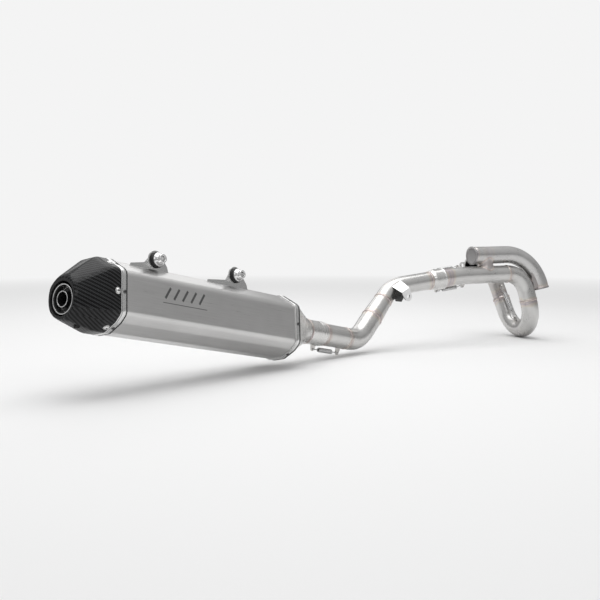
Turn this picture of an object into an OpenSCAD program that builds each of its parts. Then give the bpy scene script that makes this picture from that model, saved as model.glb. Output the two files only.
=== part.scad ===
// Off-road motorcycle exhaust system: port section, looped header with a
// resonance chamber, link pipe and a silencer with a carbon end cap.
// Frame: origin at the centre of the port mouth, +X forward along the port,
// +Y to the bike's left, +Z up. Millimetres.

/* [Pipes] */
// Outside diameter of the port pipe
port_od = 35; // [33:0.5:36]
// Outside diameter of the header and of the resonance chamber
header_od = 38.1; // [37:0.1:40]
// Outside diameter of the link pipe where it enters the silencer
link_od = 43; // [41:0.5:44]
// Wall of every pipe
pipe_wall = 1.5; // [1.2:0.1:1.5]
// Centre-line radius of the tight header bends
header_bend_r = 50; // [44:1:52]
// Running clearance of the slip joints, on the radius
slip_gap = 0.05; // [0.03:0.01:0.1]

/* [Header route] */
// Length of the port axis up to its bend
port_reach = 84; // [80:1:90]
// How far the loop's lowest centre line lies under the port
loop_drop = 143.5; // [138:0.5:148]
// Straight part of the resonance chamber behind its bend
chamber_straight = 91; // [84:1:100]
// Distance from the side run's centre line to the chamber's
chamber_gap = 43; // [42:0.5:46]

/* [Silencer] */
// Pitch of the silencer, outlet high
sil_pitch = 11; // [8:0.5:14]
// Roll of the silencer, top leaning inboard
sil_roll = 11; // [8:0.5:14]
// Width of the sleeve section
sleeve_w = 100; // [96:1:106]
// Height of the sleeve section
sleeve_h = 113; // [110:1:117]
// Length of the sleeve, with the ends under the bands
sleeve_len = 427; // [400:1:440]
// Width of the two riveted bands
band_w = 13; // [11:0.5:15]
// Length of the end cap behind the sleeve
cap_len = 71; // [66:1:76]
// Drop of the outlet below the inlet axis at the cap's end
outlet_drop = 17; // [12:0.5:19]
// Outside diameter of the core tube and of the outlet tube
core_od = 44; // [42:0.5:45]

/* [Mounts] */
// Bolt clearance hole in the bushes and in the link bracket
bolt_d = 8.4; // [8.2:0.1:8.6]
// Outside diameter of the rubber grommets
grommet_d = 26; // [24:0.5:27]

/* [Hidden] */

// Colours
titanium = [0.66, 0.66, 0.66];
steel = [0.74, 0.74, 0.74];
bright = [0.88, 0.88, 0.88];
heat = [0.70, 0.62, 0.60];
carbon = [0.09, 0.09, 0.10];
rubber = [0.04, 0.04, 0.04];
fibre = [0.90, 0.88, 0.80];

// Radii
r_port = port_od / 2;
r_head = header_od / 2;
r_link = link_od / 2;
r_core = core_od / 2;
r_spigot = 20.3;
r_socket = 22;
r_collar = 24;

// Route of the pipes: one vertex for each bend
slip_at = [-588, 12, -105];
link_straight = 167;
riser_top = [-304, 12, -35];
front_slip_at = [-185, -37.5, -20];
run_start = [-148, -53, -15.5];
front_corner = [15, -122, -14];
near_foot = [29, -150, -loop_drop];
far_foot = [82, -61, -loop_drop];
port_corner = [port_reach, 0, 0];
slip_dir = [cos(sil_pitch), 0, -sin(sil_pitch)];
link_corner = slip_at + link_straight * slip_dir;

// Vectors
function unit(v) = v / norm(v);
function toward(a, b) = unit(b - a);
function turn(a, b, c) = acos(toward(a, b) * toward(b, c));
function setback(a, b, c, r) = r * tan(turn(a, b, c) / 2);
function square_to(v, d) = unit(v - (v * d) * d);

riser_dir = toward(link_corner, riser_top);
socket_dir = toward(riser_top, front_slip_at);
run_dir = toward(run_start, front_corner);
leg_dir = toward(port_corner, far_foot);
leg_len = norm(far_foot - port_corner);
// Distance from the port's bend vertex to the header's lower slip joint
leg_slip = 82;
leg_slip_at = port_corner + leg_slip * leg_dir;
// The two lower bends meet halfway along the foot of the loop
near_turn = turn(front_corner, near_foot, far_foot);
far_turn = turn(near_foot, far_foot, port_corner);
foot_bend_r = norm(far_foot - near_foot) / (tan(near_turn / 2) + tan(far_turn / 2));
near_back = foot_bend_r * tan(near_turn / 2);
far_back = foot_bend_r * tan(far_turn / 2);
// The lead bend fills the header's first stretch up to the side run
spigot_out = 5;
lead_back = norm(run_start - front_slip_at) - spigot_out;
lead_bend_r = lead_back / tan(turn(front_slip_at, run_start, front_corner) / 2);

// Frame with its z along d and its x as near to ref as it can be
module along(p, d, ref = [0, 0, -1]) {
  x = square_to(ref, d);
  y = cross(d, x);
  multmatrix([
    [x[0], y[0], d[0], p[0]],
    [x[1], y[1], d[1], p[1]],
    [x[2], y[2], d[2], p[2]],
    [0, 0, 0, 1]
  ]) children();
}

// Solid bend that starts along +z and turns toward +x
module bend(r, bend_r, angle) {
  translate([bend_r, 0, 0]) rotate([90, 0, 0])
    rotate_extrude(angle = angle, start = 180 - angle)
      translate([bend_r, 0]) circle(r = r);
}

// Solid rod from one point to another, both given as distances from p
module rod(p, d, from, to, r) {
  along(p, d) translate([0, 0, from]) cylinder(h = to - from, r = r);
}

// Hollow straight pipe between two distances from p
module straight_pipe(p, d, from, to, r, bore_r) {
  difference() {
    rod(p, d, from, to, r);
    rod(p, d, from - over, to + over, bore_r);
  }
}

// Hollow pipe that leaves a along its way to b, bends there toward c, and
// starts at the given distance before the bend
module bent_pipe(a, b, c, lead, bend_r, r, bore_r) {
  d = toward(a, b);
  angle = turn(a, b, c);
  along(b - (setback(a, b, c, bend_r) + lead) * d, d, toward(b, c))
    difference() {
      lead_and_bend(r, lead, 0, bend_r, angle);
      lead_and_bend(bore_r, lead, over, bend_r, angle);
    }
}
module lead_and_bend(r, lead, extra, bend_r, angle) {
  if (lead > 0)
    translate([0, 0, -extra]) cylinder(h = lead + extra, r = r);
  translate([0, 0, lead]) bend(r, bend_r, angle);
}

// Solid bend at vertex b of the route a, b, c
module corner(a, b, c, bend_r, r) {
  d = toward(a, b);
  along(b - setback(a, b, c, bend_r) * d, d, toward(b, c))
    bend(r, bend_r, turn(a, b, c));
}

// Bore reach past the ends of a hollow pipe
over = 1;

// ---- Silencer section -------------------------------------------------

half_w = sleeve_w / 2;
sec_top = 53;
sec_bottom = sec_top - sleeve_h;
sec_mid = (sec_top + sec_bottom) / 2;
sec_corners = [
  [13, sec_bottom], [37, sec_bottom + 12], [half_w, sec_bottom + 24],
  [half_w, sec_top - 23], [15, sec_top]
];
corner_r = [12, 14, 14, 14, 10];
arc_steps = 4;

function rounded(p, q, s, r) =
  let (a = unit(p - q), b = unit(s - q),
       half = acos(a * b) / 2,
       centre = q + unit(a + b) * r / sin(half),
       start = q + a * r / tan(half) - centre,
       side = sign(cross([a[0], a[1], 0], [b[0], b[1], 0])[2]),
       sweep = -side * (180 - 2 * half))
  [for (i = [0:arc_steps])
    let (t = sweep * i / arc_steps)
    centre + [start[0] * cos(t) - start[1] * sin(t),
              start[0] * sin(t) + start[1] * cos(t)]];

// Corner points of the whole section, counter-clockwise
function mirrored(list) =
  [for (i = [len(list) - 1:-1:0]) [-list[i][0], list[i][1]]];
all_corners = concat(sec_corners, mirrored(sec_corners));
all_radii = concat(corner_r, [for (i = [4:-1:0]) corner_r[i]]);
section = [
  for (i = [0:9])
    each rounded(all_corners[(i + 9) % 10], all_corners[i],
                 all_corners[(i + 1) % 10], all_radii[i])
];

// The same outline with points added along its long flats, for the lofts
flat_step = 8;
fine_section = [
  for (i = [0:len(section) - 1])
    let (a = section[i], b = section[(i + 1) % len(section)],
         k = max(1, ceil(norm(b - a) / flat_step)))
    for (j = [0:k - 1]) a + (b - a) * j / k
];

// Outline grown or shrunk about its middle
function scaled(list, off) = [
  for (p = list) [
    p[0] * (half_w + off) / half_w,
    sec_mid + (p[1] - sec_mid) * (sleeve_h / 2 + off) / (sleeve_h / 2)
  ]
];
function grown(off) = scaled(fine_section, off);
// Outline drawn as a circle about height z, keeping each point's bearing
function ring(r, z) = [
  for (p = fine_section)
    let (v = unit([p[0], p[1] - sec_mid])) [v[0] * r, z + v[1] * r]
];
// Blend of two outlines
function mix(a, b, t) = [for (i = [0:len(a) - 1]) a[i] * (1 - t) + b[i] * t];
function at_x(list, x) = [for (p = list) [x, p[0], p[1]]];

// Prism of the section from x0 forward
module slab(x0, length, off) {
  translate([x0, 0, 0]) rotate([90, 0, 90])
    linear_extrude(length) polygon(scaled(section, off));
}

// Shell between two grown sections
module shell(x0, length, outer, inner) {
  difference() {
    slab(x0, length, outer);
    slab(x0 - over, length + 2 * over, inner);
  }
}

// Closed loft through outlines, each a list of 3-D points, rear one first
module loft(rings) {
  n = len(rings[0]);
  m = len(rings);
  sides = [
    for (k = [0:m - 2]) for (i = [0:n - 1])
      each [
        [k * n + i, (k + 1) * n + i, (k + 1) * n + (i + 1) % n],
        [k * n + i, (k + 1) * n + (i + 1) % n, k * n + (i + 1) % n]
      ]
  ];
  polyhedron(
    points = [for (r = rings) each r],
    faces = concat([[for (i = [0:n - 1]) i]], sides,
                   [[for (i = [n - 1:-1:0]) (m - 1) * n + i]])
  );
}

sheet = 1.2;
rim_wall = 1.5;
front_x = -80;
rear_x = front_x - sleeve_len;
cone_end = -5;
mouth_x = 42;
cap_end = rear_x - cap_len;
cap_straight = 20;
outlet_r = 26.5;

// The silencer's own frame: slip joint at the origin, x forward
module in_silencer() {
  translate(slip_at) rotate([-sil_roll, sil_pitch, 0]) children();
}

// The gas path's frame: z runs back toward the outlet from the core's mouth
core_mouth = [front_x, 0, 0];
core_tilt = atan2(outlet_drop, front_x - cap_end);
module on_core() {
  translate(core_mouth) rotate([0, -90 - core_tilt, 0]) children();
}
core_len = -rear_x + front_x;

// Places on the six wide facets where rivets and screws sit: [y, z, bearing]
facets = [
  [half_w, sec_top - 56, 0], [32.5, sec_top - 11.5, 56.7],
  [25, sec_bottom + 6, -63.4]
];

// Runs its children on each facet at x, with z pointing out of the sheet
module on_facets(x) {
  for (f = facets) for (s = [-1, 1])
    translate([x, s * f[0], f[1]])
      rotate([s > 0 ? f[2] - 90 : 90 - f[2], 0, 0]) children();
}

rear_rivet_x = rear_x + 6.5;
front_rivet_x = front_x - 6.5;
screw_x = rear_x - 7;
rivet_r = 1.6;
// Rivet and screw heads stand this far off the sheet
head_gap = 0.15;
screw_r = 2;
// Holes in the cap and the cone are drilled this much over size
loose = 0.35;

module pin_holes(x, r) { on_facets(x) translate([0, 0, -6]) cylinder(h = 12, r = r); }

module sleeve() {
  color(titanium) in_silencer() difference() {
    shell(rear_x, sleeve_len, 0, -sheet);
    pin_holes(rear_rivet_x, rivet_r);
    pin_holes(front_rivet_x, rivet_r);
  }
}

// Pressed strap with two beads
module strap(x0, rivet_x) {
  difference() {
    union() {
      shell(x0, band_w, sheet, 0);
      for (x = [x0 + 1, x0 + band_w - 2.6]) shell(x, 1.6, sheet + 0.7, sheet);
    }
    pin_holes(rivet_x, rivet_r);
  }
}
module rear_band() { color(steel) in_silencer() strap(rear_x, rear_rivet_x); }
module front_band() {
  color(steel) in_silencer() strap(front_x - band_w, front_rivet_x);
}

// Blind rivets: domed head outside, shank through strap, sleeve and rim
module rivets(x) {
  on_facets(x) {
    translate([0, 0, sheet + head_gap]) cylinder(h = 1, r = 3);
    translate([0, 0, -2.4]) cylinder(h = 2.4 + sheet + head_gap, r = rivet_r);
  }
}
module rear_band_rivets() { color(bright) in_silencer() rivets(rear_rivet_x); }
module front_band_rivets() { color(bright) in_silencer() rivets(front_rivet_x); }

module rear_plate() {
  color(steel) in_silencer() difference() {
    union() {
      shell(rear_x - 14, 14 + band_w, -sheet, -sheet - rim_wall);
      slab(rear_x + 2, 2, -sheet - rim_wall);
    }
    pin_holes(rear_rivet_x, rivet_r);
    pin_holes(screw_x, screw_r);
    on_core() translate([0, 0, core_len - 20]) cylinder(h = 40, r = r_core);
  }
}

module front_core_plate() {
  color(steel) in_silencer() difference() {
    slab(front_x - 10, 2, -sheet - rim_wall);
    pin_holes(front_rivet_x, rivet_r);
    on_core() translate([0, 0, -20]) cylinder(h = 60, r = r_core);
  }
}

module core_tube() {
  color(steel) in_silencer() on_core() difference() {
    cylinder(h = core_len - 4, r = r_core);
    translate([0, 0, -over]) cylinder(h = core_len, r = r_core - pipe_wall);
    for (z = [30:22:core_len - 30]) translate([0, 0, z]) {
      rotate([90, 0, 0]) cylinder(h = core_od + 2, r = 3, center = true);
      translate([0, 0, 11]) rotate([0, 90, 0])
        cylinder(h = core_od + 2, r = 3, center = true);
    }
  }
}

module packing() {
  color(fibre) in_silencer() difference() {
    slab(rear_x + band_w, sleeve_len - 2 * band_w, -sheet);
    on_core() translate([0, 0, -20]) cylinder(h = core_len + 40, r = r_core);
  }
}

module outlet_tube() {
  color(steel) in_silencer() on_core() difference() {
    translate([0, 0, core_len - 4]) cylinder(h = cap_len + 1, r = r_core);
    translate([0, 0, core_len - 5]) cylinder(h = cap_len + 3, r = r_core - pipe_wall);
    screw_hole(2.5);
  }
}

// Radial screw of the baffle, seen in the core's frame; z is straight down
screw_z = core_len + 44;
module on_screw() { translate([0, 0, screw_z]) rotate([0, -90, 0]) children(); }
module screw_hole(r) { on_screw() translate([0, 0, 15]) cylinder(h = 45, r = r); }

module end_cap() {
  tail = mix(ring(35, -outlet_drop - 3), grown(-18), 0.4);
  lip = mix(ring(30.5, -outlet_drop - 1.8), grown(-22), 0.25);
  inner = mix(ring(29, -outlet_drop), grown(-24), 0.45);
  color(carbon) in_silencer() difference() {
    loft([
      at_x(lip, cap_end), at_x(tail, cap_end + 7),
      at_x(grown(sheet), rear_x - cap_straight), at_x(grown(sheet), rear_x)
    ]);
    loft([
      at_x(inner, cap_end + 8),
      at_x(grown(-sheet), rear_x - cap_straight), at_x(grown(-sheet), rear_x + over)
    ]);
    pin_holes(screw_x, screw_r + loose);
    on_core() translate([0, 0, core_len + 30]) cylinder(h = 60, r = outlet_r);
    on_core() screw_hole(6);
  }
}

module end_cap_screws() {
  color(bright) in_silencer() on_facets(screw_x) {
    translate([0, 0, sheet + head_gap]) difference() {
      cylinder(h = 2.2, r = 4);
      translate([0, 0, 1]) cylinder(h = 2, r = 1.6, $fn = 6);
    }
    translate([0, 0, -4]) cylinder(h = 4 + sheet + head_gap, r = screw_r);
  }
}

module screw_boss() {
  color(steel) in_silencer() on_core() difference() {
    on_screw() translate([0, 0, r_core - 1]) cylinder(h = 17, r = 5.5);
    translate([0, 0, screw_z - 10]) cylinder(h = 20, r = r_core);
    screw_hole(2.5);
  }
}

module baffle_screw() {
  color(rubber) in_silencer() on_core()
    on_screw() translate([0, 0, r_core - pipe_wall + 0.1]) difference() {
      union() {
        cylinder(h = 18, r = 2.45);
        translate([0, 0, 17.4]) cylinder(h = 4, r = 4.5);
      }
      translate([0, 0, 19.4]) cylinder(h = 3, r = 2.2, $fn = 6);
    }
}

module baffle_insert() {
  r_fit = r_core - pipe_wall - slip_gap;
  color(bright) in_silencer() on_core() translate([0, 0, core_len - 30]) difference() {
    union() {
      cylinder(h = 100, r = 12);
      translate([0, 0, 4]) cylinder(h = 6, r = r_fit);
      translate([0, 0, 50]) cylinder(h = 37, r = r_fit);
    }
    translate([0, 0, -over]) cylinder(h = 104, r = 10.8);
    translate([0, 0, 48]) difference() {
      cylinder(h = 37, r = r_fit - 1.2);
      translate([0, 0, -over]) cylinder(h = 39, r = 12);
    }
  }
}

module inlet_cone() {
  mouth = ring(23.2, 0);
  throat = ring(22.35, 0);
  color(titanium) in_silencer() difference() {
    union() {
      shell(front_x - band_w, band_w, -sheet, -sheet - rim_wall);
      difference() {
        loft([
          at_x(grown(0), front_x), at_x(grown(-2), front_x + 4),
          at_x(mix(mouth, grown(-2), 0.42), front_x + 36), at_x(mouth, cone_end)
        ]);
        loft([
          at_x(grown(-sheet - rim_wall), front_x - over),
          at_x(grown(-4), front_x + 4),
          at_x(mix(throat, grown(-4), 0.42), front_x + 36),
          at_x(throat, cone_end + 0.01)
        ]);
      }
    }
    pin_holes(front_rivet_x, rivet_r + loose);
  }
}

module inlet_collar() {
  bore = r_link + slip_gap;
  color(steel) in_silencer() rotate([0, 90, 0]) difference() {
    union() {
      translate([0, 0, mouth_x - 10]) cylinder(h = 10, r = r_collar);
      translate([0, 0, cone_end]) cylinder(h = mouth_x - 10 - cone_end, r = 23.2);
      translate([0, 0, cone_end - 25]) cylinder(h = 25, r = 22.25);
    }
    translate([0, 0, cone_end - 26]) cylinder(h = 80, r = bore);
    translate([0, 0, mouth_x - 6]) cylinder(h = 7, r = 23);
  }
}

module slip_seal() {
  color(rubber) in_silencer() rotate([0, 90, 0]) difference() {
    translate([0, 0, mouth_x - 5.7]) cylinder(h = 5.7, r = 22.95);
    translate([0, 0, mouth_x - 7]) cylinder(h = 8, r = r_link + slip_gap);
  }
}

// ---- Silencer mounts ----------------------------------------------------

tab_y = -19;
tab_t = 3;
front_mount = [-216, sec_top + 18];
rear_mount = [-405, sec_top + 14];

// Upright plate welded on the sleeve, with a ring for the grommet
module tab(at, foot) {
  difference() {
    union() {
      translate([0, tab_y + tab_t, 0]) rotate([90, 0, 0]) linear_extrude(tab_t)
        union() {
          polygon([
            [foot[0], sec_top - 4], [foot[1], sec_top - 4],
            [foot[1] - 3, sec_top + 6], [at[0] + 14.5, at[1] + 4],
            [at[0], at[1] + 12], [at[0] - 14.5, at[1] + 3],
            [at[0] - 24, sec_top + 7], [foot[0], sec_top + 1.5]
          ]);
          translate(at) circle(r = 15.5);
        }
      translate([foot[0] + 6, tab_y + tab_t, sec_top])
        cube([foot[1] - foot[0] - 8, 14, 1.5]);
    }
    slab(foot[0] - 5, foot[1] - foot[0] + 10, 0);
    translate([at[0], 0, at[1]]) rotate([90, 0, 0])
      cylinder(h = 80, r = 10, center = true);
  }
}
module front_tab() { color(titanium) in_silencer() tab(front_mount, [-284, -185]); }
module rear_tab() { color(titanium) in_silencer() tab(rear_mount, [-458, -378]); }

// Bush and grommet turn about the bolt; z points out toward the right
module on_bolt(at) {
  in_silencer() translate([at[0], tab_y, at[1]]) rotate([90, 0, 0]) children();
}
r_bush = 6.5;
module grommet() {
  r = grommet_d / 2;
  difference() {
    union() {
      cylinder(h = 5, r = r);
      translate([0, 0, -tab_t]) cylinder(h = tab_t, r = 10);
      translate([0, 0, -tab_t - 3]) cylinder(h = 3, r = 12);
    }
    translate([0, 0, -10]) cylinder(h = 20, r = r_bush);
  }
}
module bush() {
  difference() {
    union() {
      translate([0, 0, -tab_t - 4]) cylinder(h = tab_t + 4 + 10, r = r_bush);
      translate([0, 0, 5]) cylinder(h = 2.5, r = 11.3);
      translate([0, 0, 7.5]) cylinder(h = 4, r1 = 10.5, r2 = 8);
      translate([0, 0, 11.5]) cylinder(h = 5.5, r = 7.4);
    }
    translate([0, 0, -10]) cylinder(h = 30, r = bolt_d / 2);
  }
}
module front_grommet() { color(rubber) on_bolt(front_mount) grommet(); }
module rear_grommet() { color(rubber) on_bolt(rear_mount) grommet(); }
module front_bush() { color(bright) on_bolt(front_mount) bush(); }
module rear_bush() { color(bright) on_bolt(rear_mount) bush(); }

// ---- Spring hooks and springs ------------------------------------------

hook_t = 3;
eye_r = 2.3;
wire_r = 1;
loop_r = 3.8;
coil_r = 4.7;

// Upright eye plate; x is outward from the pipe's middle, z along the pipe;
// its foot starts the given depth inside radius r
module eye_plate(r, reach, sink = 1) {
  rotate([90, 0, 0]) translate([0, 0, -hook_t / 2]) difference() {
    union() {
      linear_extrude(hook_t)
        polygon([[r - sink, -7], [r - sink, 7], [reach + 1, 3.7], [reach + 1, -3.7]]);
      translate([reach, 0, 0]) cylinder(h = hook_t, r = 3.9);
    }
    translate([reach, 0, -1]) cylinder(h = hook_t + 2, r = eye_r);
  }
}
// Eye plate welded on a straight pipe of radius r
module hook(r, reach, z) {
  difference() {
    translate([0, 0, z]) eye_plate(r, reach);
    translate([0, 0, z - 20]) cylinder(h = 40, r = r);
  }
}

// Plain tension spring between two eyes at heights z0 and z1
module tension_spring(reach, z0, z1) {
  coil_len = 0.56 * (z1 - z0);
  mid = (z0 + z1) / 2;
  translate([reach, 0, 0]) {
    for (e = [[z0, 1], [z1, -1]]) translate([0, 0, e[0] + e[1] * loop_r])
      rotate([0, 90, 0]) rotate_extrude() translate([loop_r, 0]) circle(r = wire_r);
    for (e = [[z0 + 2 * loop_r, mid - coil_len / 2],
              [mid + coil_len / 2, z1 - 2 * loop_r]])
      translate([0, 0, e[0] - 0.4]) cylinder(h = e[1] - e[0] + 0.8, r = wire_r);
    translate([0, 0, mid - coil_len / 2]) cylinder(h = coil_len, r = coil_r);
  }
}

// Runs its children at each of a joint's two spring bearings
module each_side(bearings) { for (b = bearings) rotate([0, 0, b]) children(); }

rear_reach = 31;
rear_springs = [8, 125];
// Heights of a spring's eyes: on the silencer's collar and on the link pipe
rear_eyes = [32, 110];
front_reach = 28.5;
front_springs = [25, 125];
leg_reach = 25.5;
// Where the header's eye sits on the far bend, from the bend's start
leg_eye_turn = 55;
port_eye = -20;

module on_slip() { along(slip_at, slip_dir) children(); }
module on_front_slip() { along(front_slip_at, socket_dir) children(); }
module on_leg() { along(leg_slip_at, leg_dir, [-0.6, -0.8, 0]) children(); }

module collar_hooks() {
  color(steel) on_slip() difference() {
    each_side(rear_springs) hook(23.2, rear_reach, rear_eyes[0]);
    translate([0, 0, mouth_x - 10]) cylinder(h = 10, r = r_collar);
  }
}
module link_rear_hooks() {
  color(steel) on_slip() each_side(rear_springs) hook(r_link, rear_reach, rear_eyes[1]);
}
module silencer_springs() {
  color(bright) on_slip() each_side(rear_springs)
    tension_spring(rear_reach, rear_eyes[0], rear_eyes[1]);
}
module link_front_hooks() {
  color(steel) on_front_slip() each_side(front_springs) hook(r_socket, front_reach, -10);
}
module header_rear_hooks() {
  color(steel) difference() {
    on_front_slip() each_side(front_springs) translate([0, 0, 60])
      eye_plate(r_head, front_reach, 4);
    corner(front_slip_at, run_start, front_corner, lead_bend_r, r_head);
  }
}
module link_springs() {
  color(bright) on_front_slip() each_side(front_springs)
    tension_spring(front_reach, -10, 60);
}
module port_hook() { color(steel) on_leg() hook(r_port, leg_reach, port_eye); }
bend_z = leg_len - leg_slip - far_back;
module at_bend_eye() {
  translate([foot_bend_r, 0, bend_z]) rotate([0, leg_eye_turn, 0])
    translate([-foot_bend_r, 0, 0]) children();
}
module header_front_hook() {
  color(steel) on_leg() difference() {
    at_bend_eye() eye_plate(r_head, leg_reach);
    translate([0, 0, bend_z]) bend(r_head, foot_bend_r, 90);
  }
}
// The spring spans the inside of the loop, from the port's eye to the bend's
far_eye = [foot_bend_r - (foot_bend_r - leg_reach) * cos(leg_eye_turn), 0,
           bend_z + (foot_bend_r - leg_reach) * sin(leg_eye_turn)];
near_eye = [leg_reach, 0, port_eye];
module port_spring() {
  color(bright) on_leg() along(near_eye, toward(near_eye, far_eye), [1, 0, 0])
    tension_spring(0, 0, norm(far_eye - near_eye));
}

// ---- Link pipe ----------------------------------------------------------

tail_in = 30;
tail_len = 122;
cone_from = 68;
cone_to = 114;
link_bend_r = 58;
riser_bend_r = 75;
socket_in = 32;
run_len = norm(front_slip_at - riser_top);

lower_back = setback(slip_at, link_corner, riser_top, link_bend_r);
upper_back = setback(link_corner, riser_top, front_slip_at, riser_bend_r);
riser_len = norm(riser_top - link_corner);

module link_tail() {
  color(steel) straight_pipe(slip_at, slip_dir, mouth_x - tail_in,
                             link_straight - lower_back,
                             r_link, r_link - pipe_wall);
}
module link_lower_elbow() {
  color(titanium) bent_pipe(slip_at, link_corner, riser_top, 0, link_bend_r,
                            r_link, r_link - pipe_wall);
}
// Riser: two short straight ends with the taper between them
module link_riser() {
  color(titanium) along(link_corner, riser_dir) rotate_extrude() polygon([
    [r_link - pipe_wall, lower_back], [r_link, lower_back], [r_link, cone_from],
    [r_head, cone_to], [r_head, riser_len - upper_back],
    [r_head - pipe_wall, riser_len - upper_back], [r_head - pipe_wall, cone_to],
    [r_link - pipe_wall, cone_from]
  ]);
}
module link_upper_elbow() {
  color(titanium) bent_pipe(link_corner, riser_top, front_slip_at, 0, riser_bend_r,
                            r_head, r_head - pipe_wall);
}
module link_run() {
  color(titanium) straight_pipe(riser_top, socket_dir, upper_back, run_len - socket_in,
                                r_head, r_head - pipe_wall);
}

module link_socket() {
  bore = r_spigot + slip_gap;
  color(steel) on_front_slip() difference() {
    union() {
      translate([0, 0, -socket_in]) cylinder(h = 6, r1 = r_head, r2 = r_socket);
      translate([0, 0, -socket_in + 6]) cylinder(h = socket_in - 6, r = r_socket);
      translate([0, 0, -3]) cylinder(h = 3, r = r_socket + 1);
    }
    translate([0, 0, -socket_in - over]) cylinder(h = 8, r = r_head - pipe_wall);
    translate([0, 0, -socket_in + 5]) cylinder(h = socket_in, r = bore);
  }
}

// Folded bracket at the upper elbow: a roof that leaves the pipe near its crest,
// a web at the rear and an upright ear that takes a frame bolt
elbow_dir = unit(riser_dir + socket_dir);
elbow_side = unit(cross(elbow_dir, [0, 0, 1]));
plate_t = 2.5;
roof_slope = 30;
roof_y = -10.6;
ear_x = 41;
ear_y = 20;
module on_elbow() { along(riser_top, elbow_dir, elbow_side) children(); }
module link_bracket() {
  color(bright) difference() {
    on_elbow() {
      translate([13, roof_y, 0]) rotate([0, 0, roof_slope]) rotate([-90, 0, 0])
        linear_extrude(plate_t)
          polygon([[-6, 13], [31, 11], [31, -12], [-6, -17]]);
      translate([ear_x - plate_t, 0, 0]) rotate([0, 90, 0])
        linear_extrude(plate_t) difference() {
          union() {
            polygon([[11, roof_y + 16], [-12, roof_y + 16], [-11.4, 22], [8, 22], [11, 12]]);
            translate([-2, ear_y]) circle(r = 10);
          }
          translate([-2, ear_y]) circle(d = bolt_d);
        }
      translate([0, 0, -11]) linear_extrude(plate_t)
        polygon([
          [11, roof_y + 0.5], [ear_x - 1, roof_y + 17], [ear_x - 1, 18], [30, 27], [12, 27]
        ]);
    }
    corner(link_corner, riser_top, front_slip_at, riser_bend_r, r_head);
    rod(riser_top, socket_dir, 0, run_len, r_head);
    rod(link_corner, riser_dir, cone_to, riser_len, r_head);
  }
}

// Ring of weld on a pipe of radius r
module bead(p, d, at, r) {
  along(p, d) translate([0, 0, at]) rotate_extrude() polygon([
    [r, -2.4], [r + 0.5, -2], [r + 0.9, -1], [r + 1, 0],
    [r + 0.9, 1], [r + 0.5, 2], [r, 2.4]
  ]);
}
module link_welds() {
  color(heat) {
    bead(slip_at, slip_dir, mouth_x + 10, r_link);
    bead(slip_at, slip_dir, tail_len, r_link);
    bead(link_corner, riser_dir, cone_from - 2.5, r_link);
    bead(link_corner, riser_dir, cone_to + 2.5, r_head);
    bead(riser_top, socket_dir, run_len - socket_in - 2.5, r_head);
  }
}

// ---- Header -------------------------------------------------------------

spigot_in = 27;
lower_from = 62;
corner_back = setback(run_start, front_corner, near_foot, header_bend_r);
run_total = norm(front_corner - run_start);
near_dir = toward(front_corner, near_foot);
near_len = norm(near_foot - front_corner);
foot_dir = toward(near_foot, far_foot);

// The spigot is a turned sleeve butt welded to the pipe
module header_spigot() {
  color(steel) straight_pipe(front_slip_at, socket_dir, -spigot_in, spigot_out,
                             r_spigot, r_head - pipe_wall);
}
module header_lead_bend() {
  color(titanium) bent_pipe(front_slip_at, run_start, front_corner, 0, lead_bend_r,
                            r_head, r_head - pipe_wall);
}
module header_run() {
  color(titanium) difference() {
    straight_pipe(run_start, run_dir, lead_back, run_total - corner_back,
                  r_head, r_head - pipe_wall);
    neck_rod(neck_r - pipe_wall);
  }
}
// The front bend hangs down to a weld on the side leg
module header_front_bend() {
  color(titanium) bent_pipe(near_foot, front_corner, run_start,
                            lower_from - corner_back, header_bend_r,
                            r_head, r_head - pipe_wall);
}
module header_lower_bend() {
  color(titanium) bent_pipe(front_corner, near_foot, far_foot,
                            near_len - lower_from - near_back, foot_bend_r,
                            r_head, r_head - pipe_wall);
}
module header_return_bend() {
  color(titanium) bent_pipe(port_corner, far_foot, near_foot,
                            leg_len - leg_slip - far_back, foot_bend_r,
                            r_head, r_port + slip_gap);
}

// The chamber follows the side run and its bend at a constant distance
chamber_turn = 82;
chamber_r = header_bend_r + chamber_gap - 3;
chamber_up = -square_to(near_dir, run_dir);
bend_start = front_corner - corner_back * run_dir;
module on_chamber() {
  along(bend_start + chamber_gap * chamber_up, run_dir, -chamber_up) children();
}
module chamber_solid(r, extra) {
  translate([0, 0, -chamber_straight - extra]) cylinder(h = chamber_straight + extra, r = r);
  bend(r, chamber_r, chamber_turn);
}
module at_chamber_end() {
  translate([chamber_r, 0, 0]) rotate([0, chamber_turn, 0])
    translate([-chamber_r, 0, 0]) children();
}
module chamber_tube() {
  color(titanium) difference() {
    on_chamber() difference() {
      chamber_solid(r_head, 0);
      chamber_solid(r_head - pipe_wall, over);
    }
    neck_rod(neck_r - pipe_wall);
  }
}
module chamber_rear_disc() {
  color(steel) on_chamber() translate([0, 0, -chamber_straight - 2]) union() {
    cylinder(h = 2, r = r_head + 0.6);
    translate([0, 0, -1]) cylinder(h = 1.01, r = r_head - 5);
  }
}
module chamber_front_disc() {
  color(steel) on_chamber() at_chamber_end() cylinder(h = 2, r = r_head + 0.6);
}

// Neck that joins the chamber to the side run
neck_r = 16.5;
neck_at = -57;
module neck_rod(r) {
  on_chamber() translate([0, 0, neck_at]) rotate([0, 90, 0])
    cylinder(h = chamber_gap, r = r);
}
module chamber_neck() {
  color(steel) difference() {
    neck_rod(neck_r);
    neck_rod(neck_r - pipe_wall);
    on_chamber() translate([0, 0, -chamber_straight]) cylinder(h = chamber_straight, r = r_head);
    along(run_start, run_dir) cylinder(h = run_total, r = r_head);
  }
}

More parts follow.
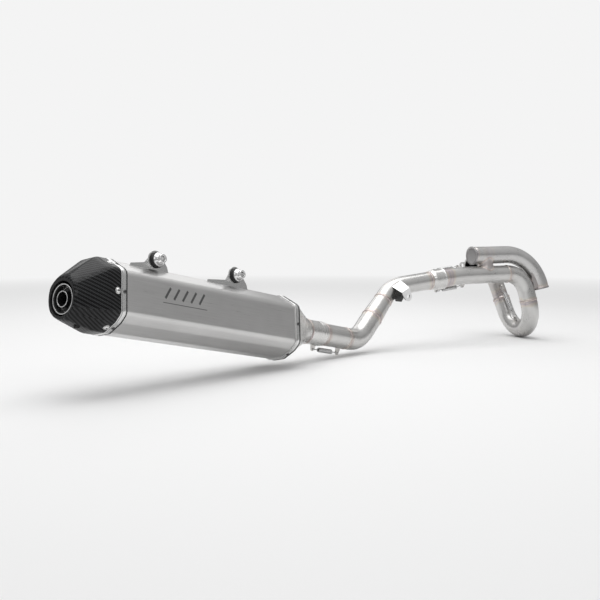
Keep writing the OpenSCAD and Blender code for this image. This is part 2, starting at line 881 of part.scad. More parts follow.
// Block between the two bends, near the chamber's front end
strut_turn = 66;
strut_len = 34;
strut_w = 26;
module chamber_strut() {
  color(steel) difference() {
    on_chamber() translate([chamber_r, 0, 0]) rotate([0, strut_turn, 0])
      translate([-chamber_r, -strut_w / 2, -strut_len / 2])
        cube([chamber_gap, strut_w, strut_len]);
    on_chamber() bend(r_head, chamber_r, chamber_turn);
    corner(run_start, front_corner, near_foot, header_bend_r, r_head);
    along(front_corner, near_dir) cylinder(h = near_len, r = r_head);
  }
}

module header_welds() {
  color(heat) {
    bead(run_start, run_dir, run_total - corner_back - 3, r_head);
    bead(front_corner, near_dir, lower_from, r_head);
    bead(leg_slip_at, leg_dir, 4, r_head);
    bead(front_slip_at, socket_dir, spigot_out + 3.4, r_head + 0.12);
  }
}

// ---- Port section -------------------------------------------------------

port_bend_r = 52;
port_in = 24;
port_back = setback([0, 0, 0], port_corner, far_foot, port_bend_r);
module port_bend() {
  color(titanium) bent_pipe([0, 0, 0], port_corner, far_foot,
                            port_reach - port_back, port_bend_r,
                            r_port, r_port - pipe_wall);
}
module port_leg() {
  color(titanium) straight_pipe(port_corner, leg_dir, port_back, leg_slip + port_in,
                                r_port, r_port - pipe_wall);
}
module port_collar() {
  color(steel) rotate([0, 90, 0]) difference() {
    union() {
      translate([0, 0, 4]) cylinder(h = 5, r = r_port + 4.5);
      translate([0, 0, 9]) cylinder(h = 8, r1 = r_port + 2.5, r2 = r_port + 1.2);
      for (s = [-1, 1]) translate([0, s * 26, 4]) cylinder(h = 5, r = 8);
    }
    cylinder(h = 30, r = r_port);
    for (s = [-1, 1]) translate([0, s * 27, 0]) cylinder(h = 12, r = bolt_d / 2);
  }
}

sleeve();
core_tube();
packing();
front_core_plate();
rear_plate();
inlet_cone();
inlet_collar();
rear_band();
front_band();
rear_band_rivets();
front_band_rivets();
end_cap();
end_cap_screws();
outlet_tube();
screw_boss();
front_tab();
rear_tab();
front_grommet();
rear_grommet();
front_bush();
rear_bush();
collar_hooks();
baffle_insert();
baffle_screw();
slip_seal();
link_tail();
link_lower_elbow();
link_riser();
link_upper_elbow();
link_run();
link_socket();
link_bracket();
link_rear_hooks();
link_front_hooks();
link_welds();
silencer_springs();
header_spigot();
header_lead_bend();
header_run();
header_front_bend();
header_lower_bend();
header_return_bend();
chamber_tube();
chamber_rear_disc();
chamber_front_disc();
chamber_neck();
chamber_strut();
header_rear_hooks();
header_front_hook();
header_welds();
link_springs();
port_bend();
port_leg();
port_collar();
port_hook();
port_spring();
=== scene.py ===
"""Looks of an off-road motorcycle exhaust system, built round its CAD frame.

Lengths in the geometry code are millimetres, in the row frame: origin at the port mouth,
+X forward, +Y left, +Z up. make_mesh() turns them into metres.
"""

from math import atan2, ceil, cos, degrees, hypot, pi, radians, sin, sqrt, tan

import bmesh
import bpy
from mathutils import Matrix, Vector


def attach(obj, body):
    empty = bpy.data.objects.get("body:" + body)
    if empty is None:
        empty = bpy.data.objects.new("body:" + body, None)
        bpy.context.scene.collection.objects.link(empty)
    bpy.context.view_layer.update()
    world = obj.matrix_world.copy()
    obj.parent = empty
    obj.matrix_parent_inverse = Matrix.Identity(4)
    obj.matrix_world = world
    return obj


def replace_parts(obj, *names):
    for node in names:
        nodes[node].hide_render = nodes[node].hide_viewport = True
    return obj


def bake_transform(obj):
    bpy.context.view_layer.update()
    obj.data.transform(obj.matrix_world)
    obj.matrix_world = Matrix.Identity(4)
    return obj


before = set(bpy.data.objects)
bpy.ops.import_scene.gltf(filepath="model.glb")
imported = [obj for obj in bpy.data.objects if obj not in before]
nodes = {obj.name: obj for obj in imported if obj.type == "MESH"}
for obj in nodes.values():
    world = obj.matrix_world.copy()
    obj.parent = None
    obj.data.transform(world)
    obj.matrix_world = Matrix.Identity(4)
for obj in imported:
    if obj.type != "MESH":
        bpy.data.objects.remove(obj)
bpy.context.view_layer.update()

MM = 0.001
X, Z = Vector((1, 0, 0)), Vector((0, 0, 1))


# ---- Materials ----


class Graph:
    """A principled material, or a world, and short calls for adding nodes to it."""

    def __init__(self, name, world=None):
        self.material = world or bpy.data.materials.new(name)
        self.material.use_nodes = True
        self.tree = self.material.node_tree
        self.shader = self.tree.nodes["Background" if world else "Principled BSDF"]

    def link(self, socket, value):
        if isinstance(value, bpy.types.NodeSocket):
            self.tree.links.new(value, socket)
        else:
            socket.default_value = value

    def node(self, kind, inputs, out=0, **settings):
        made = self.tree.nodes.new("ShaderNode" + kind)
        for key, value in settings.items():
            setattr(made, key, value)
        for key, value in inputs.items():
            self.link(made.inputs[key], value)
        return made.outputs[out]

    def math(self, operation, a, b=0.0, c=0.0):
        return self.node("Math", {0: a, 1: b, 2: c}, operation=operation)

    def times(self, a, b):
        return self.math("MULTIPLY", a, b)

    def plus(self, a, b):
        return self.math("ADD", a, b)

    def minus(self, a, b):
        return self.math("SUBTRACT", a, b)

    def uv(self):
        """Distance round and distance along the piece, both in metres."""
        coords = self.node("TexCoord", {}, out=2)
        parts = self.tree.nodes.new("ShaderNodeSeparateXYZ")
        self.tree.links.new(coords, parts.inputs[0])
        return parts.outputs[0], parts.outputs[1]

    def place(self):
        """Object coordinates in metres."""
        return self.node("TexCoord", {}, out=3)

    def stretched(self, a, b, scale_a, scale_b):
        return self.node("CombineXYZ", {0: self.times(a, scale_a), 1: self.times(b, scale_b)})

    def noise(self, vector, scale=1.0, detail=2.0, rough=0.5):
        return self.node(
            "TexNoise",
            {"Vector": vector, "Scale": scale, "Detail": detail, "Roughness": rough},
        )

    def span(self, value, low, high, to_low=0.0, to_high=1.0):
        return self.node("MapRange", {0: value, 1: low, 2: high, 3: to_low, 4: to_high})

    def level(self, noise, low, high):
        """Takes the usual range of a noise to low and high."""
        return self.span(noise, 0.3, 0.7, low, high)

    def ramp(self, value, stops):
        made = self.tree.nodes.new("ShaderNodeValToRGB")
        self.link(made.inputs[0], value)
        marks = made.color_ramp.elements
        while len(marks) < len(stops):
            marks.new(0.5)
        for mark, (at, colour) in zip(marks, stops):
            mark.position = at
            mark.color = (*colour, 1.0)
        return made.outputs[0]

    def mix(self, share, a, b, blend="MIX"):
        made = self.tree.nodes.new("ShaderNodeMix")
        made.data_type = "RGBA"
        made.blend_type = blend
        self.link(made.inputs[0], share)
        self.link(made.inputs[6], a)
        self.link(made.inputs[7], b)
        return made.outputs[2]

    def grey(self, value):
        return self.node("CombineColor", {0: value, 1: value, 2: value})

    def shade(self, colour, level):
        return self.mix(1.0, colour, self.grey(level), "MULTIPLY")

    def bump(self, height, strength, distance):
        normal = self.node(
            "Bump", {"Height": height, "Strength": strength, "Distance": distance}
        )
        self.link(self.shader.inputs["Normal"], normal)

    def set(self, **values):
        for key, value in values.items():
            self.link(self.shader.inputs[key.replace("_", " ")], value)
        return self.material


def rgb(r, g, b):
    return (r, g, b, 1.0)


def brushed(name, colour, low, high, fine=2600.0, long=34.0, depth=0.12):
    """Sheet metal with fine brush lines along the piece and soft clouding."""
    g = Graph(name)
    around, along = g.uv()
    lines = g.noise(g.stretched(around, along, fine, long), detail=3.0, rough=0.6)
    coarse = g.noise(g.stretched(around, along, fine * 0.22, long * 0.3), detail=2.0)
    cloud = g.noise(g.place(), 16.0, 3.0)
    grain = g.plus(g.times(lines, 0.6), g.times(coarse, 0.4))
    tone = g.plus(g.level(grain, 0.90, 1.07), g.level(cloud, -0.03, 0.03))
    g.bump(grain, depth, 0.00012)
    return g.set(
        Base_Color=g.shade(rgb(*colour), tone),
        Metallic=1.0,
        Roughness=g.level(grain, low, high),
        Anisotropic=0.35,
    )


def strap_metal(name, x0):
    """Bright strap that starts at x0, with a painted shadow line in the groove behind each rolled
    edge.
    """
    g = Graph(name)
    around, along = g.uv()
    grain = g.noise(g.place(), 900.0, 3.0)
    # Painted shadow: the base colour drops to a thin dark line in each groove.
    near = g.math("ABSOLUTE", g.minus(along, (x0 + 2.3) * MM))
    far = g.math("ABSOLUTE", g.minus(along, (x0 + 10.7) * MM))
    line = g.span(g.math("MINIMUM", near, far), 0.5 * MM, 1.1 * MM, 0.04, 1.0)
    tone = g.times(line, g.level(grain, 0.94, 1.04))
    g.bump(grain, 0.04, 0.00012)
    return g.set(
        Base_Color=g.shade(rgb(0.72, 0.72, 0.715), tone),
        Metallic=1.0,
        Roughness=g.level(grain, 0.20, 0.28),
    )


def satin(name, colour, low, high, scale=900.0, depth=0.05, tint=None):
    """Satin metal with a fine even grain, handling marks and an optional tint in its clouds."""
    g = Graph(name)
    place = g.place()
    fine = g.noise(place, scale, 3.0)
    cloud = g.noise(place, 26.0, 4.0, 0.6)
    base = g.shade(rgb(*colour), g.level(cloud, 0.9, 1.08))
    if tint:
        base = g.mix(g.span(cloud, 0.42, 0.66, 0.0, 0.7), base, rgb(*tint))
    g.bump(fine, depth, 0.0002)
    rough = g.plus(g.level(cloud, low, high), g.level(fine, -0.03, 0.03))
    return g.set(Base_Color=base, Metallic=1.0, Roughness=rough)


STRAW = (0.62, 0.55, 0.44)
ROSE = (0.56, 0.45, 0.42)
VIOLET = (0.33, 0.27, 0.33)


def pipe_metal(name, length, tints, base=(0.60, 0.595, 0.585)):
    """Pipe metal: faint draw lines, and heat tints at stated distances along the pipe.

    tints holds (distance, half width, strength) in millimetres."""
    g = Graph(name)
    around, along = g.uv()
    tone = rgb(*base)
    place = g.place()
    wander = g.span(g.noise(place, 60.0, 2.0), 0.3, 0.7, -0.003, 0.003)
    path = g.plus(along, wander)
    for at, half, strength in tints:
        off = g.math("ABSOLUTE", g.minus(path, at * MM))
        share = g.span(off, half * MM, 0.0, 0.0, 1.0)
        stops = [(0.0, base), (0.35, STRAW), (0.62, ROSE), (0.80, VIOLET), (1.0, ROSE)]
        colour = g.ramp(share, stops)
        fade = g.span(share, 0.0, 0.4, 0.0, strength)
        tone = g.mix(fade, tone, colour)
    lines = g.noise(g.stretched(around, along, 1500.0, 60.0), detail=3.0, rough=0.6)
    cloud = g.noise(place, 22.0, 4.0, 0.6)
    level = g.plus(g.level(lines, 0.95, 1.04), g.level(cloud, -0.07, 0.06))
    g.bump(lines, 0.07, 0.00015)
    rough = g.plus(g.level(cloud, 0.25, 0.36), g.level(lines, -0.03, 0.03))
    return g.set(
        Base_Color=g.shade(tone, level), Metallic=1.0, Roughness=rough
    )


CLOTH_TURN = -22.0  # degrees between the weave and the cap's length


def carbon_twill(name, tow=1.9):
    """Twill weave, 2 over 2, under a clear coat. The warp tows are painted paler than the weft,
    brightest on their crowns and streaked along their fibres: a painted sheen in place of the
    tows' own reflections.
    """
    g = Graph(name)
    around, along = g.uv()
    place = g.place()
    c, d = cos(radians(CLOTH_TURN)), sin(radians(CLOTH_TURN))
    a = g.plus(g.times(around, c), g.times(along, d))
    b = g.minus(g.times(along, c), g.times(around, d))
    a, b = g.math("DIVIDE", a, tow * MM), g.math("DIVIDE", b, tow * MM)
    row, column = g.math("FLOOR", a), g.math("FLOOR", b)
    turn = g.math("MODULO", g.plus(g.plus(row, column), 4000.0), 4.0)
    warp = g.math("LESS_THAN", turn, 1.5)
    in_a = g.minus(g.math("FRACT", a), 0.5)
    in_b = g.minus(g.math("FRACT", b), 0.5)
    crown_a = g.minus(1.0, g.times(g.times(in_a, in_a), 3.6))
    crown_b = g.minus(1.0, g.times(g.times(in_b, in_b), 3.6))
    weft = g.minus(1.0, warp)
    height = g.plus(g.times(crown_a, warp), g.times(crown_b, weft))
    fibres_a = g.noise(g.stretched(around, along, 9000.0, 500.0), detail=2.0)
    fibres_b = g.noise(g.stretched(around, along, 500.0, 9000.0), detail=2.0)
    fibres = g.plus(g.times(fibres_a, warp), g.times(fibres_b, weft))
    # Painted sheen: the warp tows are paler, brightest on the crowns and streaked by the fibres.
    light = g.times(g.level(fibres, 0.55, 1.3), height)
    dark = rgb(0.0012, 0.0012, 0.0014)
    painted_sheen_tone = rgb(0.042, 0.043, 0.045)
    tone = g.mix(g.times(warp, light), dark, painted_sheen_tone)
    cloud = g.noise(place, 30.0, 2.0)
    g.bump(height, 0.25, 0.0002)
    return g.set(
        Base_Color=tone,
        Roughness=g.level(cloud, 0.34, 0.42),
        Metallic=0.0,
        Coat_Weight=0.35,
        Coat_Roughness=0.10,
        Specular_IOR_Level=0.04,
    )


def soft_black(name, colour, rough, scale=500.0):
    """Rubber or black paint with a fine grain."""
    g = Graph(name)
    grain = g.noise(g.place(), scale, 3.0)
    g.bump(grain, 0.15, 0.0002)
    tone = g.grey(g.level(grain, 0.8, 1.2))
    return g.set(
        Base_Color=g.mix(1.0, rgb(*colour), tone, "MULTIPLY"),
        Roughness=g.level(grain, rough - 0.06, rough + 0.06),
        Metallic=0.0,
    )


def weld_metal(name):
    """Weld bead: bright crests, tinted troughs."""
    g = Graph(name)
    place = g.place()
    cloud = g.noise(place, 90.0, 3.0)
    fine = g.noise(place, 1400.0, 2.0)
    stops = [(0.0, (0.42, 0.36, 0.37)), (0.45, (0.55, 0.48, 0.45)), (1.0, (0.66, 0.62, 0.57))]
    g.bump(fine, 0.1, 0.0002)
    return g.set(
        Base_Color=g.ramp(g.span(cloud, 0.3, 0.7), stops),
        Metallic=1.0,
        Roughness=g.level(cloud, 0.24, 0.42),
    )


def fibre(name):
    g = Graph(name)
    strands = g.noise(g.place(), 220.0, 6.0, 0.7)
    g.bump(strands, 0.8, 0.001)
    stops = [(0.3, (0.62, 0.58, 0.46)), (0.7, (0.86, 0.82, 0.70))]
    return g.set(Base_Color=g.ramp(strands, stops), Roughness=0.95, Sheen_Weight=0.3)


sleeve_metal = brushed("brushed_sleeve", (0.62, 0.615, 0.61), 0.26, 0.40)
band_metal = brushed("band_metal", (0.66, 0.66, 0.655), 0.20, 0.30, 900.0, 900.0, 0.05)
cone_metal = satin("cone_metal", (0.62, 0.615, 0.605), 0.22, 0.32)
steel = satin("satin_steel", (0.66, 0.655, 0.645), 0.20, 0.32)
inner_metal = satin("inner_steel", (0.40, 0.39, 0.38), 0.35, 0.5)
dark_steel = satin("dark_steel", (0.10, 0.10, 0.10), 0.25, 0.38)
socket_tone = soft_black("socket_shadow", (0.006, 0.006, 0.006), 0.6)
polished = satin("polished_steel", (0.82, 0.82, 0.82), 0.06, 0.14, 700.0, 0.02)
disc_metal = satin("disc_metal", (0.38, 0.37, 0.37), 0.30, 0.42, 1200.0, 0.09)
neck_metal = satin("neck_metal", (0.62, 0.60, 0.59), 0.26, 0.40, 700.0, 0.12, (0.55, 0.44, 0.42))
wire = satin("spring_wire", (0.60, 0.60, 0.60), 0.16, 0.26)
hook_metal = satin("hook_metal", (0.60, 0.585, 0.57), 0.24, 0.36)
weld_tone = weld_metal("weld")
rubber = soft_black("rubber", (0.012, 0.012, 0.012), 0.55)
black_paint_and_painted_shade = soft_black("black_paint_and_painted_shade", (0.016, 0.016, 0.016), 0.42)
outlet_black = soft_black("outlet_black", (0.008, 0.008, 0.0085), 0.42, 900.0)
twill = carbon_twill("carbon_twill")
wool = fibre("packing_fibre")
etched = soft_black("etched_mark", (0.06, 0.06, 0.06), 0.5, 1200.0)


# ---- Mesh helpers ----


def make_mesh(name, verts, faces, material, body, uvs=None, sharp=40.0):
    """A mesh piece from millimetre points. uvs holds one (u, v) pair in metres per corner."""
    mesh = bpy.data.meshes.new(name)
    mesh.from_pydata([v * MM for v in verts], [], faces)
    layer = mesh.uv_layers.new(name="UVMap")
    if uvs:
        flat = [value for pair in uvs for value in pair]
        layer.data.foreach_set("uv", flat)
    mesh.materials.append(material)
    cleaner = bmesh.new()
    cleaner.from_mesh(mesh)
    bmesh.ops.recalc_face_normals(cleaner, faces=cleaner.faces)
    for edge in cleaner.edges:
        if len(edge.link_faces) == 2 and edge.calc_face_angle() > radians(sharp):
            edge.smooth = False
    for face in cleaner.faces:
        face.smooth = True
    cleaner.to_mesh(mesh)
    cleaner.free()
    piece = bpy.data.objects.new(name, mesh)
    bpy.context.collection.objects.link(piece)
    if body:
        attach(piece, body)
    return piece


def skin(name, rings, material, body, slot, ring_at=None, round_at=None, loop=False, caps=True,
         sharp=40.0, own_uvs=None):
    """A surface through closed rings. loop joins the last ring to the first; caps closes
    both ends. ring_at gives each ring's distance along the piece in metres, and round_at
    each point's distance round it, one value more than the ring has points. own_uvs, one
    pair per face corner, takes the place of both."""
    count, n = len(rings), len(rings[0])
    verts = [p for ring in rings for p in ring]
    if ring_at is None:
        ring_at = [0.0]
        for a, b in zip(rings, rings[1:]):
            ring_at.append(ring_at[-1] + (b[0] - a[0]).length * MM)
    if round_at is None:
        widest = max(rings, key=lambda r: (r[0] - r[n // 2]).length)
        round_at = [0.0]
        for i in range(n):
            round_at.append(round_at[-1] + (widest[(i + 1) % n] - widest[i]).length * MM)
    faces, uvs = [], []
    for k in range(count if loop else count - 1):
        j = (k + 1) % count
        near, far = ring_at[k], ring_at[k + 1] if k + 1 < count else ring_at[k]
        for i in range(n):
            m = (i + 1) % n
            faces.append((k * n + i, j * n + i, j * n + m, k * n + m))
            a, b = round_at[i], round_at[i + 1]
            uvs += [(a, near), (a, far), (b, far), (b, near)]
    if caps and not loop:
        for k in (0, count - 1):
            ids = [k * n + i for i in range(n)]
            faces.append(tuple(ids))
            uvs += [(verts[i].x * MM + verts[i].y * MM, verts[i].z * MM) for i in ids]
    return make_mesh(name, verts, faces, material, body, own_uvs or uvs, sharp)


def soften(points, radius, closed=True, steps=3):
    """Rounds each corner of a 2-D outline."""
    n = len(points)
    out = []
    for i, p in enumerate(points):
        if not closed and i in (0, n - 1):
            out.append(p)
            continue
        here = Vector(p)
        before, after = Vector(points[i - 1]) - here, Vector(points[(i + 1) % n]) - here
        cut = min(radius, before.length * 0.45, after.length * 0.45)
        a, b = here + before.normalized() * cut, here + after.normalized() * cut
        for k in range(steps + 1):
            t = k / steps
            out.append(tuple(a * (1 - t) ** 2 + here * (2 * t * (1 - t)) + b * t * t))
    return out


def lathe(name, profile, place, material, body, slot, sides=72, closed=True, sharp=40.0,
          edge=None):
    """Turns a (height, radius) profile about the z axis of place. edge changes a radius by
    bearing."""
    rings = []
    for z, r in profile:
        ring = []
        for i in range(sides):
            t = 2 * pi * i / sides
            rr = edge(r, z, t) if edge else r
            ring.append(place @ Vector((rr * cos(t), rr * sin(t), z)))
        rings.append(ring)
    at = [0.0]
    for (z0, r0), (z1, r1) in zip(profile, profile[1:]):
        at.append(at[-1] + hypot(z1 - z0, r1 - r0) * MM)
    return skin(name, rings, material, body, slot, ring_at=at, loop=closed, caps=not closed,
                sharp=sharp)


def axes_frame(origin, direction, ref=-Z):
    """Frame with z along direction and x as near to ref as it can be."""
    z = direction.normalized()
    x = (ref - z * ref.dot(z)).normalized()
    y = z.cross(x)
    m = Matrix.Identity(4)
    for i, axis in enumerate((x, y, z, origin)):
        for k in range(3):
            m[k][i] = axis[k]
    return m


def route(start, vertices, end, arc_step=4.0, straight_step=12.0):
    """Centre line from start to end round each (vertex, bend radius)."""
    corners = [start] + [v for v, _ in vertices] + [end]
    points = [start.copy()]

    def straight_to(q):
        p = points[-1]
        count = max(1, ceil((q - p).length / straight_step))
        for k in range(1, count + 1):
            points.append(p + (q - p) * (k / count))

    for i, (v, radius) in enumerate(vertices):
        into = (v - corners[i]).normalized()
        away = (corners[i + 2] - v).normalized()
        angle = into.angle(away)
        back = radius * tan(angle / 2)
        straight_to(v - into * back)
        begin = points[-1].copy()
        side = (away - into * away.dot(into)).normalized()
        centre = begin + side * radius
        count = max(2, ceil(degrees(angle) / arc_step))
        for k in range(1, count + 1):
            t = angle * k / count
            points.append(centre - side * radius * cos(t) + into * radius * sin(t))
    straight_to(end)
    return points


def circle(n):
    """Cosine and sine at n even steps round a circle."""
    return [(cos(2 * pi * k / n), sin(2 * pi * k / n)) for k in range(n)]


def distances(points):
    out = [0.0]
    for a, b in zip(points, points[1:]):
        out.append(out[-1] + (b - a).length)
    return out


def transport(points):
    """A (tangent, side, up) frame at each point, with no twist."""
    frames = []
    side = None
    for i in range(len(points)):
        a, b = points[max(i - 1, 0)], points[min(i + 1, len(points) - 1)]
        tangent = (b - a).normalized()
        if side is None:
            side = tangent.cross(Z if abs(tangent.z) < 0.9 else X).normalized()
        else:
            side = (side - tangent * side.dot(tangent)).normalized()
        frames.append((tangent, side, tangent.cross(side)))
    return frames


def tube(name, points, radius, wall, material, body, slot, sides=64, end_lip=0.4):
    """Hollow pipe round a centre line. radius is a number or a function of the distance."""
    frames = transport(points)
    along = distances(points)
    size = radius if callable(radius) else lambda s: radius

    def ring(i, r, shift=0.0):
        tangent, side, up = frames[i]
        middle = points[i] + tangent * shift
        return [middle + side * (r * c) + up * (r * s) for c, s in circle(sides)]

    last = len(points) - 1
    rings, at = [], []
    for i in range(last + 1):
        r = size(along[i])
        if i in (0, last):
            inward = end_lip if i == 0 else -end_lip
            pair = [ring(i, r - end_lip), ring(i, r, inward)]
            rings += pair if i == 0 else pair[::-1]
            at += [along[i] * MM, (along[i] + inward) * MM][:: 1 if i == 0 else -1]
        else:
            rings.append(ring(i, r))
            at.append(along[i] * MM)
    for i in range(last, -1, -1):
        rings.append(ring(i, size(along[i]) - wall))
        at.append(along[i] * MM)
    step = 2 * pi * size(0.0) / sides * MM
    return skin(name, rings, material, body, slot, ring_at=at,
                round_at=[step * k for k in range(sides + 1)], loop=True, sharp=50.0)


def rod(name, points, radius, material, body, slot, sides=10):
    """Solid wire along a line of points."""
    frames = transport(points)
    rings = [[p + side * (radius * c) + up * (radius * s) for c, s in circle(sides)]
             for p, (_, side, up) in zip(points, frames)]
    return skin(name, rings, material, body, slot)


def weld_path(name, centres, outward, tangents, body, width=2.6, height=1.0, ripple=1.9):
    """Rippled bead on a closed line. outward and tangents are unit vectors at each point,
    and width runs square to both."""
    cross = [-1.0, -0.94, -0.74, -0.4, 0.0, 0.4, 0.74, 0.94, 1.0]
    n = len(centres)
    lengths = [(centres[(i + 1) % n] - centres[i]).length for i in range(n)]
    count = max(8, round(sum(lengths) / ripple))
    rings = []
    run = 0.0
    for i in range(n):
        across = outward[i].cross(tangents[i]).normalized()
        wave = 2 * pi * count * run / sum(lengths)
        ring = []
        for c in cross:
            crescent = 0.5 + 0.5 * cos(wave + 2.2 * c * c)
            swell = height * sqrt(max(0.0, 1 - c * c)) * (0.72 + 0.28 * crescent ** 0.6)
            side = width * c * (0.95 + 0.05 * crescent)
            ring.append(centres[i] + across * side + outward[i] * (swell - 0.1))
        ring.append(centres[i] - outward[i] * 0.7)
        rings.append(ring)
        run += lengths[i]
    return skin(name, rings, weld_tone, body, "weld", loop=True, sharp=70.0)


def weld_ring(name, at, direction, radius, body, width=2.3, height=0.95, ripple=1.9):
    """Rippled bead round a pipe."""
    place = axes_frame(at, direction)
    n = int(2 * pi * radius / ripple) * 6
    turn = place.to_3x3()
    outward = [turn @ Vector((c, s, 0)) for c, s in circle(n)]
    tangents = [turn @ Vector((-s, c, 0)) for c, s in circle(n)]
    centres = [at + o * radius for o in outward]
    return weld_path(name, centres, outward, tangents, body, width, height, ripple)


def dress(name, material, width=0.35, segments=2, angle=35.0):
    """Keeps a CAD node and gives it a material and small rounded edges."""
    piece = nodes[name]
    piece.data.materials.clear()
    piece.data.materials.append(material)
    bevel = piece.modifiers.new("rounded_edges", "BEVEL")
    bevel.width = width * MM
    bevel.segments = segments
    bevel.limit_method = "ANGLE"
    bevel.angle_limit = radians(angle)
    bevel.harden_normals = False
    for polygon in piece.data.polygons:
        polygon.use_smooth = False
    return piece


# ---- Routes and frames ----

PORT_R, HEAD_R, LINK_R = 17.5, 19.05, 21.5
SPIGOT_R = 20.3
WALL = 1.5

slip_at = Vector((-588, 12, -105))
riser_top = Vector((-304, 12, -35))
front_slip_at = Vector((-185, -37.5, -20))
run_start = Vector((-148, -53, -15.5))
front_corner = Vector((15, -122, -14))
near_foot = Vector((29, -150, -143.5))
far_foot = Vector((82, -61, -143.5))
port_corner = Vector((84, 0, 0))
slip_dir = Vector((cos(radians(11)), 0, -sin(radians(11))))
link_corner = slip_at + slip_dir * 167


def toward(a, b):
    return (b - a).normalized()


def setback(a, b, c, radius):
    return radius * tan(toward(a, b).angle(toward(b, c)) / 2)


riser_dir = toward(link_corner, riser_top)
socket_dir = toward(riser_top, front_slip_at)
run_dir = toward(run_start, front_corner)
near_dir = toward(front_corner, near_foot)
leg_dir = toward(port_corner, far_foot)
leg_slip_at = port_corner + leg_dir * 82
lead_back = (run_start - front_slip_at).length - 5
lead_r = lead_back / tan(toward(front_slip_at, run_start).angle(run_dir) / 2)
near_half = tan(near_dir.angle(toward(near_foot, far_foot)) / 2)
far_half = tan(toward(near_foot, far_foot).angle(-leg_dir) / 2)
foot_r = (far_foot - near_foot).length / (near_half + far_half)

in_silencer = Matrix.Translation(slip_at) @ Matrix.Rotation(radians(11), 4, "Y")
in_silencer = in_silencer @ Matrix.Rotation(radians(-11), 4, "X")
core_len = 427.0
core_tilt = atan2(17.0, 498.0)
on_core = in_silencer @ Matrix.Translation((-80, 0, 0))
on_core = on_core @ Matrix.Rotation(-pi / 2 - core_tilt, 4, "Y")
on_slip = axes_frame(slip_at, slip_dir)
on_front_slip = axes_frame(front_slip_at, socket_dir)
on_leg = axes_frame(leg_slip_at, leg_dir, Vector((-0.6, -0.8, 0)))


# ---- Silencer section ----

TOP, BOTTOM, HALF_W, HALF_H = 53.0, -60.0, 50.0, 56.5
MIDDLE = (TOP + BOTTOM) / 2
half_corners = [(13, BOTTOM, 12), (37, BOTTOM + 12, 14), (50, BOTTOM + 24, 14),
                (50, TOP - 23, 14), (15, TOP, 10)]
corners = half_corners + [(-y, z, r) for y, z, r in reversed(half_corners)]
ARC = 8  # steps in each rounded corner
FLAT_STEP = 6.0


def outline():
    """The rounded section as points, and the facet number of each point."""
    out = []
    n = len(corners)
    for i in range(n):
        p, q, s = (Vector(corners[(i + k) % n][:2]) for k in (-1, 0, 1))
        radius = corners[i][2]
        a, b = (p - q).normalized(), (s - q).normalized()
        half = a.angle(b) / 2
        centre = q + (a + b).normalized() * (radius / sin(half))
        start = q + a * (radius / tan(half)) - centre
        side = 1 if a.x * b.y - a.y * b.x > 0 else -1
        sweep = -side * (pi - 2 * half)
        for k in range(ARC + 1):
            t = sweep * k / ARC
            x = start.x * cos(t) - start.y * sin(t)
            y = start.x * sin(t) + start.y * cos(t)
            out.append((centre + Vector((x, y)), i if k < ARC / 2 else i + 1))
    filled = []
    for i, (p, facet) in enumerate(out):
        q = out[(i + 1) % len(out)][0]
        count = max(1, ceil((q - p).length / FLAT_STEP))
        filled += [(p.lerp(q, k / count), facet) for k in range(count)]
    return filled


section = [p for p, _ in outline()]
facet_of = [f % len(corners) for _, f in outline()]


def grown(off):
    return [
        Vector((p.x * (HALF_W + off) / HALF_W, MIDDLE + (p.y - MIDDLE) * (HALF_H + off) / HALF_H))
        for p in section
    ]


def circle_ring(radius, z):
    """A circle about height z that keeps each section point's bearing."""
    return [
        Vector((0, z)) + Vector((p.x, p.y - MIDDLE)).normalized() * radius for p in section
    ]


def blend2(a, b, t):
    return [p * (1 - t) + q * t for p, q in zip(a, b)]


def at_x(shape, x):
    return [in_silencer @ Vector((x, p.x, p.y)) for p in shape]


round_at = [0.0]
for a, b in zip(section, section[1:] + section[:1]):
    round_at.append(round_at[-1] + (b - a).length * MM)


def wrap(name, profile, material, slot, body="silencer", **settings):
    """Sweeps a closed (x, growth) profile round the section."""
    rings = [at_x(grown(off), x) for x, off in profile]
    at = [x * MM for x, _ in profile]
    return skin(name, rings, material, body, slot, ring_at=at, round_at=round_at, loop=True,
                **settings)


FRONT_X, REAR_X, CONE_END, CAP_END = -80.0, -507.0, -5.0, -578.0
MOUTH = 42.0
SHEET = 1.2
BAND_W = 13.0

sleeve = wrap(
    "sleeve_skin",
    [(REAR_X, 0), (REAR_X + 140, 0), (FRONT_X - 140, 0), (FRONT_X, 0),
     (FRONT_X, -SHEET), (REAR_X, -SHEET)],
    sleeve_metal, "sleeve")
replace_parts(sleeve, "sleeve")


def band_profile(x0):
    """Strap with a rolled bead at each edge and a groove inside each bead."""
    outer = [(0.0, 0.1), (0.05, 1.3), (0.7, 1.95), (1.6, 1.85), (2.3, 1.1), (2.8, 0.95),
             (3.4, 1.35), (4.6, 1.55), (8.4, 1.55), (9.6, 1.35), (10.2, 0.95), (10.7, 1.1),
             (11.4, 1.85), (12.3, 1.95), (12.95, 1.3), (13.0, 0.1)]
    return [(x0 + x, off) for x, off in outer] + [(x0 + BAND_W, -0.4), (x0, -0.4)]


for label, x0 in (("rear_band", REAR_X), ("front_band", FRONT_X - BAND_W)):
    strap = wrap(label + "_strap", band_profile(x0), strap_metal(label + "_metal", x0), "band",
                 sharp=60.0)
    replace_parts(strap, label)

# Inlet cone: the section shrinks to a circle, with a rolled fold at the front band
mouth, throat = circle_ring(23.2, 0), circle_ring(22.35, 0)


def cone_ring(x, inner=False):
    share = max(0.0, min(1.0, (CONE_END - x) / (CONE_END - FRONT_X - 4)))
    share = share - 0.10 * sin(pi * share) * (1 - share)
    target = grown(-4 if inner else -2)
    return at_x(blend2(throat if inner else mouth, target, share), x)


